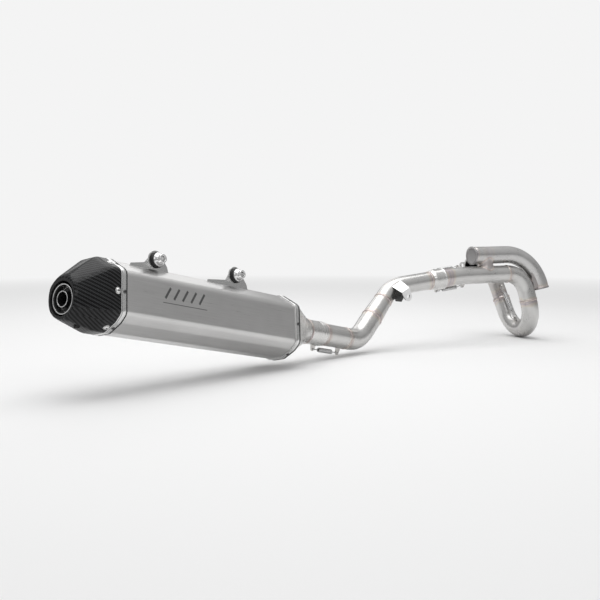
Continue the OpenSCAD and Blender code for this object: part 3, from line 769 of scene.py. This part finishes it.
cone_rings = [at_x(grown(-2.4), FRONT_X - BAND_W), at_x(grown(-1.3), FRONT_X - BAND_W),
              at_x(grown(-1.3), FRONT_X - 1), at_x(grown(-0.4), FRONT_X),
              at_x(grown(-0.2), FRONT_X + 1.2), at_x(grown(-0.7), FRONT_X + 2.8)]
steps = 18
cone_xs = [FRONT_X + 4.5 + (CONE_END - FRONT_X - 4.5) * k / steps for k in range(steps + 1)]
cone_rings += [cone_ring(x) for x in cone_xs]
cone_rings += [cone_ring(x, True) for x in reversed(cone_xs)]
cone_at = [(ring[0] - slip_at).length * MM for ring in cone_rings]
cone = skin("inlet_cone_skin", cone_rings, cone_metal, "silencer", "sleeve", ring_at=cone_at,
            round_at=round_at, loop=True, sharp=60.0)
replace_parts(cone, "inlet_cone")

# Inlet collar: a rolled mouth with a groove behind it
collar_profile = [(CONE_END - 25, 21.6), (CONE_END - 25, 22.25), (CONE_END - 0.4, 22.25),
                  (CONE_END, 23.2), (MOUTH - 12, 23.2), (MOUTH - 10.6, 24.0),
                  (MOUTH - 6.6, 24.0), (MOUTH - 5.8, 23.4), (MOUTH - 4.8, 23.4),
                  (MOUTH - 3.8, 24.0), (MOUTH - 0.6, 24.0), (MOUTH, 23.4), (MOUTH, 22.95),
                  (MOUTH - 6, 22.95), (MOUTH - 6, 21.6)]
on_collar = in_silencer @ Matrix.Rotation(pi / 2, 4, "Y")
collar = lathe("inlet_collar_ring", soften(collar_profile, 0.5), on_collar, steel, "silencer",
               "band", sharp=50.0)
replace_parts(collar, "inlet_collar")
seam_at = in_silencer @ Vector((CONE_END + 0.5, 0, 0))
weld_ring("collar_weld", seam_at, slip_dir, 23.9, "silencer", 1.9, 0.8)

# ---- End cap ----

OUT_Z = -17.0
OPENING_R = 26.5
tail = blend2(circle_ring(35, OUT_Z - 3), grown(-18), 0.4)
lip = blend2(circle_ring(30.5, OUT_Z - 1.8), grown(-22), 0.25)
inner_lip = blend2(circle_ring(29, OUT_Z), grown(-24), 0.45)
opening = circle_ring(OPENING_R, OUT_Z + 0.6)
opening_in = circle_ring(OPENING_R, OUT_Z + 1.5)
FULL = grown(SHEET)


def cap_outline(x):
    """Outer shape of the cap at x, with a small rounding where the taper starts."""
    shoulder, end, soft = REAR_X - 20.0, CAP_END + 7.0, 7.0
    if x > shoulder + soft:
        share = 0.0
    elif x > shoulder - soft:
        d = shoulder + soft - x
        share = d * d / (4 * soft) / (shoulder - end)
    else:
        share = (shoulder - x) / (shoulder - end)
    return blend2(FULL, tail, share)


cap_xs = [REAR_X, REAR_X - 0.6, REAR_X - 6, REAR_X - 13]
cap_xs += [REAR_X - 13 - 14 * k / 8 for k in range(1, 9)]
cap_xs += [REAR_X - 27 - 37 * k / 10 for k in range(1, 11)]
cap_rings = [at_x(cap_outline(x), x) for x in cap_xs]
for share, dx in ((0.12, 1.2), (0.35, 3.2), (0.62, 5.2), (0.86, 6.5), (1.0, 7.0)):
    cap_rings.append(at_x(blend2(tail, lip, share), CAP_END + 7 - dx))
for share in (0.3, 0.55, 0.78, 0.97):
    cap_rings.append(at_x(blend2(lip, opening, share), CAP_END))
for shape, x in ((opening, CAP_END + 0.5), (opening_in, CAP_END + 8),
                 (blend2(inner_lip, opening_in, 0.5), CAP_END + 9),
                 (blend2(grown(-SHEET), inner_lip, 0.5), -548),
                 (grown(-SHEET), REAR_X - 20), (grown(-SHEET), REAR_X)):
    cap_rings.append(at_x(shape, x))


def facet_uvs(rings):
    """Cloth coordinates: each facet is laid flat, so the weave follows its slope."""
    local = [[in_silencer.inverted() @ p for p in ring] for ring in rings]
    n, total = len(section), len(rings)
    frames = []
    for f, corner in enumerate(corners):
        a, b = Vector(corners[f - 1][:2]), Vector(corner[:2])
        frames.append((Vector((0, *(b - a).normalized())), Vector((0, *(a + b) / 2))))
    uvs, slope = [], [0.0]
    for k in range(1, total):
        slope.append(slope[-1] + (local[k][0] - local[k - 1][0]).length)
    for k in range(total):
        j = (k + 1) % total
        for i in range(n):
            m = (i + 1) % n
            side, middle = frames[facet_of[m]]
            for ring_id, point_id, s in ((k, i, slope[k]), (j, i, slope[j]), (j, m, slope[j]),
                                         (k, m, slope[k])):
                p = local[ring_id][point_id]
                uvs.append((side.dot(p - middle) * MM, s * MM))
    return uvs


cap = skin("end_cap_shell", cap_rings, twill, "silencer", "end_cap", loop=True, sharp=50.0,
           own_uvs=facet_uvs(cap_rings))
cap.data.materials.append(outlet_black)
first_face_ring = len(cap_xs) + 5
for polygon in cap.data.polygons:
    if polygon.index // len(section) >= first_face_ring:
        polygon.material_index = 1
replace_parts(cap, "end_cap")

# Outlet tube, seen end on inside the cap
tube_profile = [(core_len + z, r) for z, r in (
    (-4, 20.5), (-4, 22.0), (65.5, 22.0), (67.4, 22.9), (68.8, 22.6), (69, 21.6), (68, 20.7),
    (65, 20.5))]
outlet = lathe("outlet_pipe", soften(tube_profile, 0.4), on_core, black_paint_and_painted_shade, "silencer",
               "inner_steel")
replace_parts(outlet, "outlet_tube")


def trim_ring(name, z0, z1, r0, r1, soft, material, body, slot):
    """A ring with rounded edges, on the core's axis between z0 and z1 behind its end."""
    z0, z1 = core_len + z0, core_len + z1
    profile = soften([(z0, r0), (z1, r0), (z1, r1), (z0, r1)], soft)
    return lathe(name, profile, on_core, material, body, slot)


trim_ring("outlet_rim", 67.6, 69.6, 21.4, 23.2, 0.35, polished, "silencer", "fastener")

# Baffle insert: a plate across the outlet with a tube through it
insert_profile = [(core_len + z, r) for z, r in (
    (-30, 10.8), (-30, 12), (-25, 12), (-25, 20.4), (-21, 20.4), (-21, 12), (20, 12), (20, 20.4),
    (55.8, 20.4), (57, 19.6), (56.4, 18.2), (54.6, 14.5), (55.2, 12.0), (69.2, 12.0), (70, 11.4),
    (69.2, 10.8))]
insert = lathe("baffle_plate", soften(insert_profile, 0.4), on_core, outlet_black, "baffle",
               "polished")
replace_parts(insert, "baffle_insert")
trim_ring("baffle_rim", 68.4, 70.2, 11.0, 12.4, 0.35, polished, "baffle", "polished")
trim_ring("baffle_edge", 55.6, 57.3, 19.3, 20.3, 0.3, steel, "baffle", "polished")

# ---- Fasteners ----

FACETS = [(HALF_W, TOP - 56, 0.0), (32.5, TOP - 11.5, 56.7), (25, BOTTOM + 6, -63.4)]


def on_facet(x, facet, sign):
    y, z, bearing = facet
    tilt = bearing - 90 if sign > 0 else 90 - bearing
    place = Matrix.Translation((x, sign * y, z)) @ Matrix.Rotation(radians(tilt), 4, "X")
    return in_silencer @ place


def hexed(r, z, t):
    """Radius of the socket's hexagon; other radii stay round."""
    if r > 1.85:
        return r
    return r * cos(pi / 6) / cos((t % (pi / 3)) - pi / 6)


screw_profile = [(-1.0, 3.9), (0.9, 4.0), (1.5, 3.85), (2.3, 3.1), (2.75, 2.2), (2.7, 1.9),
                 (2.5, 1.8), (1.2, 1.75)]
washer_profile = [(0.0, 3.0), (0.0, 5.2), (0.5, 5.2), (0.7, 4.9), (0.7, 3.0)]
rivet_profile = [(0.0, 3.0), (0.35, 3.05), (0.8, 2.7), (1.15, 1.9), (1.3, 1.15), (1.2, 1.0),
                 (0.9, 0.9)]
for k, facet in enumerate(FACETS):
    for sign in (-1, 1):
        label = f"{k}_{'left' if sign > 0 else 'right'}"
        place = on_facet(REAR_X - 7, facet, sign) @ Matrix.Translation((0, 0, SHEET))
        screw = lathe("cap_screw_" + label, screw_profile, place, polished, "silencer",
                      "fastener", 48, False, edge=hexed)
        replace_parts(screw, "end_cap_screws")
        lathe("screw_socket_" + label, [(1.3, 1.5), (1.35, 1.0), (1.35, 0.2)], place, socket_tone,
              "silencer", "fastener", 24, False)
        lathe("cap_washer_" + label, washer_profile, place, steel, "silencer", "fastener", 40)
        for band, x in (("rear", REAR_X + 6.5), ("front", FRONT_X - 6.5)):
            spot = on_facet(x, facet, sign) @ Matrix.Translation((0, 0, SHEET + 0.3))
            rivet = lathe(f"{band}_rivet_{label}", rivet_profile, spot, dark_steel, "silencer",
                          "fastener", 32, False)
            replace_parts(rivet, band + "_band_rivets")

dress("baffle_screw", black_paint_and_painted_shade)
dress("screw_boss", black_paint_and_painted_shade)

# ---- Silencer mounts ----

grommet_profile = [(-6, 6.5), (-6, 11.4), (-3, 12), (-3, 10), (0, 10), (0, 13), (3.6, 13),
                   (5, 11.2), (5, 6.5)]
bush_profile = [(-7, 4.2), (-7, 6.5), (5, 6.5), (5, 11.3), (7.2, 11.3), (7.7, 10.4),
                (11.2, 8.1), (11.7, 7.4), (16.4, 7.4), (17, 6.8), (17, 4.8), (16.4, 4.2)]
for label, x, z in (("front", -216, TOP + 18), ("rear", -405, TOP + 14)):
    on_bolt = in_silencer @ Matrix.Translation((x, -19, z)) @ Matrix.Rotation(pi / 2, 4, "X")
    ring = lathe(label + "_grommet_ring", soften(grommet_profile, 1.2), on_bolt, rubber,
                 "silencer", "rubber")
    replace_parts(ring, label + "_grommet")
    bush = lathe(label + "_bush_turned", soften(bush_profile, 0.5), on_bolt, polished,
                 "silencer", "polished")
    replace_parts(bush, label + "_bush")
dress("front_tab", band_metal, 0.8, 3)
dress("rear_tab", band_metal, 0.8, 3)

for hidden, finish in (("core_tube", inner_metal), ("packing", wool),
                       ("front_core_plate", inner_metal), ("rear_plate", inner_metal),
                       ("slip_seal", rubber)):
    dress(hidden, finish, 0.2, 1)

# ---- Link pipe ----

tail_start = slip_at + slip_dir * 12
run_len = (front_slip_at - riser_top).length
link_points = route(
    tail_start, [(link_corner, 58.0), (riser_top, 75.0)],
    riser_top + socket_dir * (run_len - 32), 4.0, 6.0)
link_at = distances(link_points)
lower_back = setback(slip_at, link_corner, riser_top, 58.0)
upper_back = setback(link_corner, riser_top, front_slip_at, 75.0)
lower_arc = 58.0 * slip_dir.angle(riser_dir)
bend_end = 167 - 12 - lower_back + lower_arc
taper_from = bend_end + 68 - lower_back
taper_to = bend_end + 114 - lower_back
riser_len = (riser_top - link_corner).length
upper_end = bend_end + riser_len - lower_back - upper_back + 75.0 * riser_dir.angle(socket_dir)


def link_radius(s):
    t = max(0.0, min(1.0, (s - taper_from) / (taper_to - taper_from)))
    return LINK_R + (HEAD_R - LINK_R) * t


link_total = link_at[-1]
link_tints = [(40, 9, 0.35), (110, 10, 0.4), (taper_from - 2, 13, 0.5), (taper_to + 2, 10, 0.4),
              (upper_end - 30, 18, 0.12), (link_total - 2, 14, 0.5)]
link_metal = pipe_metal("link_pipe_metal", link_total, link_tints)
link = tube("link_pipe_skin", link_points, link_radius, WALL, link_metal, "link_pipe", "pipe")
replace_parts(link, "link_tail", "link_lower_elbow", "link_riser", "link_upper_elbow", "link_run")

socket_profile = [(-33, 17.6), (-33, 19.0), (-31, 19.4), (-26.5, 21.8), (-25, 22), (-4, 22),
                  (-2.8, 22.9), (-0.8, 23), (0, 22.2), (0, 20.35), (-26, 20.35), (-27, 17.6)]
socket = lathe("link_socket_turned", soften(socket_profile, 0.6), on_front_slip, steel,
               "link_pipe", "turned", sharp=50.0)
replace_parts(socket, "link_socket")

link_beads = [
    ("tail_mouth_weld", slip_at + slip_dir * 52, slip_dir, LINK_R, 2.2, 0.8),
    ("tail_weld", slip_at + slip_dir * 122, slip_dir, LINK_R),
    ("taper_low_weld", link_corner + riser_dir * 65.5, riser_dir, LINK_R),
    ("taper_high_weld", link_corner + riser_dir * 116.5, riser_dir, HEAD_R),
    ("socket_weld", riser_top + socket_dir * (run_len - 34.5), socket_dir, HEAD_R),
]


def weld_rings(rows, body, node):
    """Beads from (name, place, direction, radius) rows, with a width and height where unusual."""
    for label, at, direction, r, *size in rows:
        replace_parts(weld_ring(label, at, direction, r, body, *size), node)


weld_rings(link_beads, "link_pipe", "link_welds")
bracket = dress("link_bracket", polished, 0.5, 3)
# Painted shadow: the bracket faces that point against the elbow take the black material, standing
# for the shade on the web.
bracket.data.materials.append(black_paint_and_painted_shade)
elbow_dir = (riser_dir + socket_dir).normalized()
for polygon in bracket.data.polygons:
    if polygon.normal.dot(elbow_dir) < -0.9:
        polygon.material_index = 1
for hook in ("link_rear_hooks", "link_front_hooks", "collar_hooks", "header_rear_hooks",
             "header_front_hook", "port_hook"):
    dress(hook, hook_metal, 0.45, 3)

# ---- Header ----

header_points = route(
    front_slip_at - socket_dir * 27,
    [(run_start, lead_r), (front_corner, 50.0), (near_foot, foot_r), (far_foot, foot_r)],
    leg_slip_at, 3.0, 6.0)
header_at = distances(header_points)


def header_radius(s):
    return SPIGOT_R if s < 31.9 else HEAD_R


corner_back = setback(run_start, front_corner, near_foot, 50.0)
corner_arc = 50.0 * run_dir.angle(near_dir)
run_s = 27 + 5
lead_arc = lead_r * socket_dir.angle(run_dir)
corner_start = run_s + lead_arc + (front_corner - run_start).length - lead_back - corner_back
near_weld_s = corner_start + corner_arc + 62 - corner_back
header_total = header_at[-1]
header_tints = [(38, 18, 0.5), (corner_start - 3, 8, 0.2), (near_weld_s, 13, 0.5),
                (header_total - 4, 14, 0.4), (near_weld_s + 90, 36, 0.1)]
header_metal = pipe_metal("header_pipe_metal", header_total, header_tints)
header = tube("header_skin", header_points, header_radius, WALL, header_metal, "header", "pipe")
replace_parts(header, "header_spigot", "header_lead_bend", "header_run", "header_front_bend",
            "header_lower_bend", "header_return_bend")
header_beads = [
    ("corner_weld", run_start + run_dir * ((front_corner - run_start).length - corner_back - 3),
     run_dir, HEAD_R),
    ("near_leg_weld", front_corner + near_dir * 62, near_dir, HEAD_R),
    ("leg_mouth_weld", leg_slip_at + leg_dir * 4, leg_dir, HEAD_R),
    ("spigot_weld", front_slip_at + socket_dir * 8.4, socket_dir, HEAD_R),
]
weld_rings(header_beads, "header", "header_welds")

# Resonance chamber
chamber_up = -(near_dir - run_dir * near_dir.dot(run_dir)).normalized()
bend_start = front_corner - run_dir * corner_back
CHAMBER_GAP, CHAMBER_BEND, CHAMBER_TURN = 43.0, 90.0, radians(82)
on_chamber = axes_frame(bend_start + chamber_up * CHAMBER_GAP, run_dir, -chamber_up)
chamber_points = [on_chamber @ Vector((0, 0, -91 + 9.1 * k)) for k in range(11)]
for k in range(1, 29):
    t = CHAMBER_TURN * k / 28
    chamber_points.append(
        on_chamber @ Vector((CHAMBER_BEND - CHAMBER_BEND * cos(t), 0, CHAMBER_BEND * sin(t))))
chamber_metal = pipe_metal(
    "chamber_metal", 219.8, [(0, 9, 0.3), (34, 20, 0.15), (219.8, 12, 0.45)], (0.58, 0.575, 0.57))
chamber = tube("chamber_skin", chamber_points, HEAD_R, WALL, chamber_metal, "header", "pipe")
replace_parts(chamber, "chamber_tube")
disc_profile = [(-1.0, 14.0), (0.6, 18.2), (0.9, 19.8), (-1.7, 20.0), (-2.7, 19.4), (-2.3, 17.6),
                (-1.3, 16.2), (-1.9, 13.4), (-2.2, 6.0)]
front_dir = (chamber_points[-1] - chamber_points[-2]).normalized()
for label, at, inward in (("rear", chamber_points[0], run_dir),
                          ("front", chamber_points[-1], -front_dir)):
    disc = lathe(f"chamber_{label}_end", soften(disc_profile, 0.5, False),
                 axes_frame(at, inward), disc_metal, "header", "turned", 72, False, 50.0)
    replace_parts(disc, f"chamber_{label}_disc")
weld_ring("chamber_front_weld", chamber_points[-1] - front_dir * 0.4, front_dir, HEAD_R,
          "header", 1.6, 0.7)

# Neck between chamber and side run, with a weld along each saddle
NECK_R, NECK_AT = 16.5, -57.0
neck_place = on_chamber @ Matrix.Translation((0, 0, NECK_AT)) @ Matrix.Rotation(pi / 2, 4, "Y")


def saddle(bearing, radius):
    """Height above a pipe's centre line where a neck of that radius meets the pipe."""
    return sqrt(HEAD_R ** 2 - (radius * sin(bearing)) ** 2)


sides = 144
neck_rings = []
levels = [(0.0, 1.8), (0.05, 0.9), (0.13, 0.25), (0.25, 0.0), (0.5, 0.0), (0.75, 0.0),
          (0.87, 0.25), (0.95, 0.9), (1.0, 1.8)]
for share, flare in levels:
    ring = []
    for i in range(sides):
        t = 2 * pi * i / sides
        r = NECK_R + flare
        low = saddle(t, min(r, 18.5)) - 0.3
        high = CHAMBER_GAP - low
        z = low + (high - low) * share
        ring.append(neck_place @ Vector((r * cos(t), r * sin(t), z)))
    neck_rings.append(ring)
neck = skin("neck_skin", neck_rings, neck_metal, "header", "turned")
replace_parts(neck, "chamber_neck")
turn3 = neck_place.to_3x3()
for label, flip in (("chamber_saddle_weld", False), ("run_saddle_weld", True)):
    centres, outward = [], []
    r = NECK_R + 0.9
    for i in range(sides * 2):
        t = pi * i / sides
        h = saddle(t, r) + 0.2
        z = CHAMBER_GAP - h if flip else h
        centres.append(neck_place @ Vector((r * cos(t), r * sin(t), z)))
        out = Vector((cos(t), sin(t), -1.0 if flip else 1.0))
        outward.append(turn3 @ out.normalized())
    after = centres[1:] + centres[:1]
    tangents = [(q - centres[i - 1]).normalized() for i, q in enumerate(after)]
    weld_path(label, centres, outward, tangents, "header", 2.2, 1.0)
dress("chamber_strut", neck_metal, 0.6, 3)

# ---- Port section ----

port_points = route(Vector((0, 0, 0)), [(port_corner, 52.0)], leg_slip_at + leg_dir * 24, 3.0, 6.0)
port_metal = pipe_metal("port_pipe_metal", distances(port_points)[-1],
                        [(22, 14, 0.4), (140, 22, 0.3)], (0.50, 0.485, 0.47))
port = tube("port_skin", port_points, PORT_R, WALL, port_metal, "port_section", "pipe")
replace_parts(port, "port_bend", "port_leg")
dress("port_collar", steel, 0.5, 3)

# ---- Springs ----

WIRE_R, COIL_R, LOOP_R = 1.0, 3.7, 3.8


def spring_line(z0, z1, coil_share=0.56):
    """Centre line of the wire between two hook eyes on the z axis."""
    coil_len = coil_share * (z1 - z0)
    middle = (z0 + z1) / 2
    turns = int(coil_len / (2.12 * WIRE_R))
    start, end = middle - coil_len / 2, middle + coil_len / 2

    def loop(z, way):
        out = []
        for k in range(22):
            t = radians(-150 + 300 * k / 21)
            out.append(Vector((0, LOOP_R * sin(t), z + way * (LOOP_R - LOOP_R * cos(t)))))
        return out

    def lead(y0, y1, z, rise):
        """The wire between a loop and the coil."""
        for k in range(1, 7):
            t = k / 7
            points.append(Vector((0, y0 + (y1 - y0) * t * t * (3 - 2 * t), z + rise * t)))

    points = loop(z0, 1)
    top = z0 + 2 * LOOP_R
    lead(points[-1].y, 0, top - 0.6, (start - top) * 0.9)
    count = turns * 18
    for k in range(count + 1):
        t = 2 * pi * turns * k / count
        grow = min(1.0, k / 16, (count - k) / 16)
        r = COIL_R * (0.15 + 0.85 * grow)
        points.append(Vector((r * cos(t), r * sin(t), start + (end - start) * k / count)))
    last = loop(z1, -1)[::-1]
    lead(0, last[0].y, end + 0.6, z1 - 2 * LOOP_R - end)
    return points + last


def spring(name, place, z0, z1, node):
    """A tension spring between two hook eyes on place's z axis, baked into world space."""
    points = [place @ p for p in spring_line(z0, z1)]
    piece = rod(name, points, WIRE_R, wire, None, "spring")
    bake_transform(piece)
    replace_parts(piece, node)
    return piece


for label, bearing in (("low", 8.0), ("high", 125.0)):
    turned = on_slip @ Matrix.Rotation(radians(bearing), 4, "Z") @ Matrix.Translation((31, 0, 0))
    line = spring_line(32, 110)
    half = len(line) // 2
    split = line[half].z
    for part, points, bodies, span in (
        ("rear", line[: half + 1], ("silencer", "seal"), (40, split - 4)),
        ("front", line[half:], ("seal", "link_pipe"), (split + 4, 102)),
    ):
        piece = rod(f"silencer_spring_{label}_{part}", [turned @ p for p in points], WIRE_R,
                    wire, None, "spring")
        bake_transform(piece)
        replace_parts(piece, "silencer_springs")

for label, bearing in (("low", 25.0), ("high", 125.0)):
    turned = on_front_slip @ Matrix.Rotation(radians(bearing), 4, "Z")
    turned = turned @ Matrix.Translation((28.5, 0, 0))
    spring(f"link_spring_{label}", turned, -10, 60, "link_springs")

EYE_TURN = radians(55)
bend_z = (far_foot - port_corner).length - 82 - foot_r * far_half
near_eye = Vector((25.5, 0, -20))
far_eye = Vector((foot_r - (foot_r - 25.5) * cos(EYE_TURN), 0,
                  bend_z + (foot_r - 25.5) * sin(EYE_TURN)))
eye_frame = on_leg @ axes_frame(near_eye, far_eye - near_eye, X)
spring("port_spring_inner", eye_frame, 0, (far_eye - near_eye).length,
       "port_spring")

# ---- Generic mark on the sleeve's right side ----


def mark_strip(name, a, b, thick):
    """A thin etched strip on the right side facet, between two (x, z) points."""
    a, b = Vector(a), Vector(b)
    along = (b - a).normalized()
    square = Vector((-along.y, along.x)) * (thick / 2)
    flat = [a - square, b - square, b + square, a + square]
    verts = [in_silencer @ Vector((p.x, -HALF_W - lift, p.y))
             for lift in (0.04, -0.3) for p in flat]
    faces = [(0, 1, 2, 3), (7, 6, 5, 4), (0, 4, 5, 1), (1, 5, 6, 2), (2, 6, 7, 3), (3, 7, 4, 0)]
    return make_mesh(name, verts, faces, etched, "silencer")


mark_x, mark_z = -415.0, 8.0
for k in range(5):
    x = mark_x + k * 19
    mark_strip(f"mark_bar_{k}", (x, mark_z - 9), (x + 12, mark_z + 9), 4.2)
mark_strip("mark_line", (mark_x - 5, mark_z - 16), (mark_x + 94, mark_z - 16), 1.1)

# ---- Stage ----

FLOOR_Z = -0.163
PAPER = 0.905


def floor_material():
    """White paper near the object that fades to a plain even tone far away."""
    g = Graph("floor_paper")
    place = g.place()
    distance = g.node("VectorMath", {0: place}, out=1, operation="LENGTH")
    far = g.span(distance, 1.5, 3.2)
    g.set(Base_Color=rgb(0.86, 0.86, 0.86), Roughness=0.9)
    glow = g.node("Emission", {"Color": rgb(PAPER, PAPER, PAPER), "Strength": 1.0})
    surface = g.node("MixShader", {0: far, 1: g.shader.outputs[0], 2: glow})
    g.link(g.tree.nodes["Material Output"].inputs["Surface"], surface)
    return g.material


floor_mesh = bpy.data.meshes.new("floor")
rim_points = [(14 * c - 0.55, 14 * s, 0) for c, s in circle(64)]
floor_mesh.from_pydata(rim_points, [], [tuple(range(64))])
floor = bpy.data.objects.new("floor", floor_mesh)
floor.location = (-0.5, 0, FLOOR_Z)
bpy.context.collection.objects.link(floor)
floor_mesh.materials.append(floor_material())

# The world is plain paper to the camera, and darker toward the horizon in reflections
world = bpy.data.worlds.new("studio")
bpy.context.scene.world = world
sky = Graph("studio", world)
generated = sky.tree.nodes.new("ShaderNodeTexCoord").outputs["Generated"]
height = sky.node("SeparateXYZ", {0: generated}, out=2)
tones = ((0.0, 0.36), (0.10, 0.30), (0.38, 0.50), (1.0, 0.72))
glow = sky.ramp(height, [(at, (tone, tone, tone)) for at, tone in tones])
seen = sky.tree.nodes.new("ShaderNodeLightPath").outputs["Is Camera Ray"]
sky.set(Color=sky.mix(seen, glow, rgb(PAPER, PAPER, PAPER)), Strength=1.0)


def softbox(name, at, aim, size_x, size_y, power):
    light = bpy.data.lights.new(name, "AREA")
    light.shape = "RECTANGLE"
    light.size, light.size_y = size_x, size_y
    light.energy = power
    holder = bpy.data.objects.new(name, light)
    holder.location = at
    holder.rotation_euler = (Vector(aim) - Vector(at)).to_track_quat("-Z", "Y").to_euler()
    bpy.context.collection.objects.link(holder)


softbox("top_light", (-0.6, 0.1, 1.7), (-0.55, 0.0, 0.0), 2.6, 1.8, 25)
softbox("back_light", (0.6, 1.6, 1.1), (-0.4, 0.0, 0.0), 1.6, 0.8, 4)
softbox("camera_side_light", (-2.0, -1.9, 1.3), (-0.6, 0.0, 0.0), 1.2, 0.7, 3)

lens = bpy.data.cameras.new("camera")
lens.sensor_width = 36.0
lens.lens = 63.6
lens.clip_start = 0.05
camera = bpy.data.objects.new("camera", lens)
camera.location = (-2.132, -1.249, 0.1028)
camera.rotation_euler = (radians(85.738), 0, radians(-50.46))
bpy.context.collection.objects.link(camera)
bpy.context.scene.camera = camera

bpy.context.scene.view_settings.view_transform = "Standard"
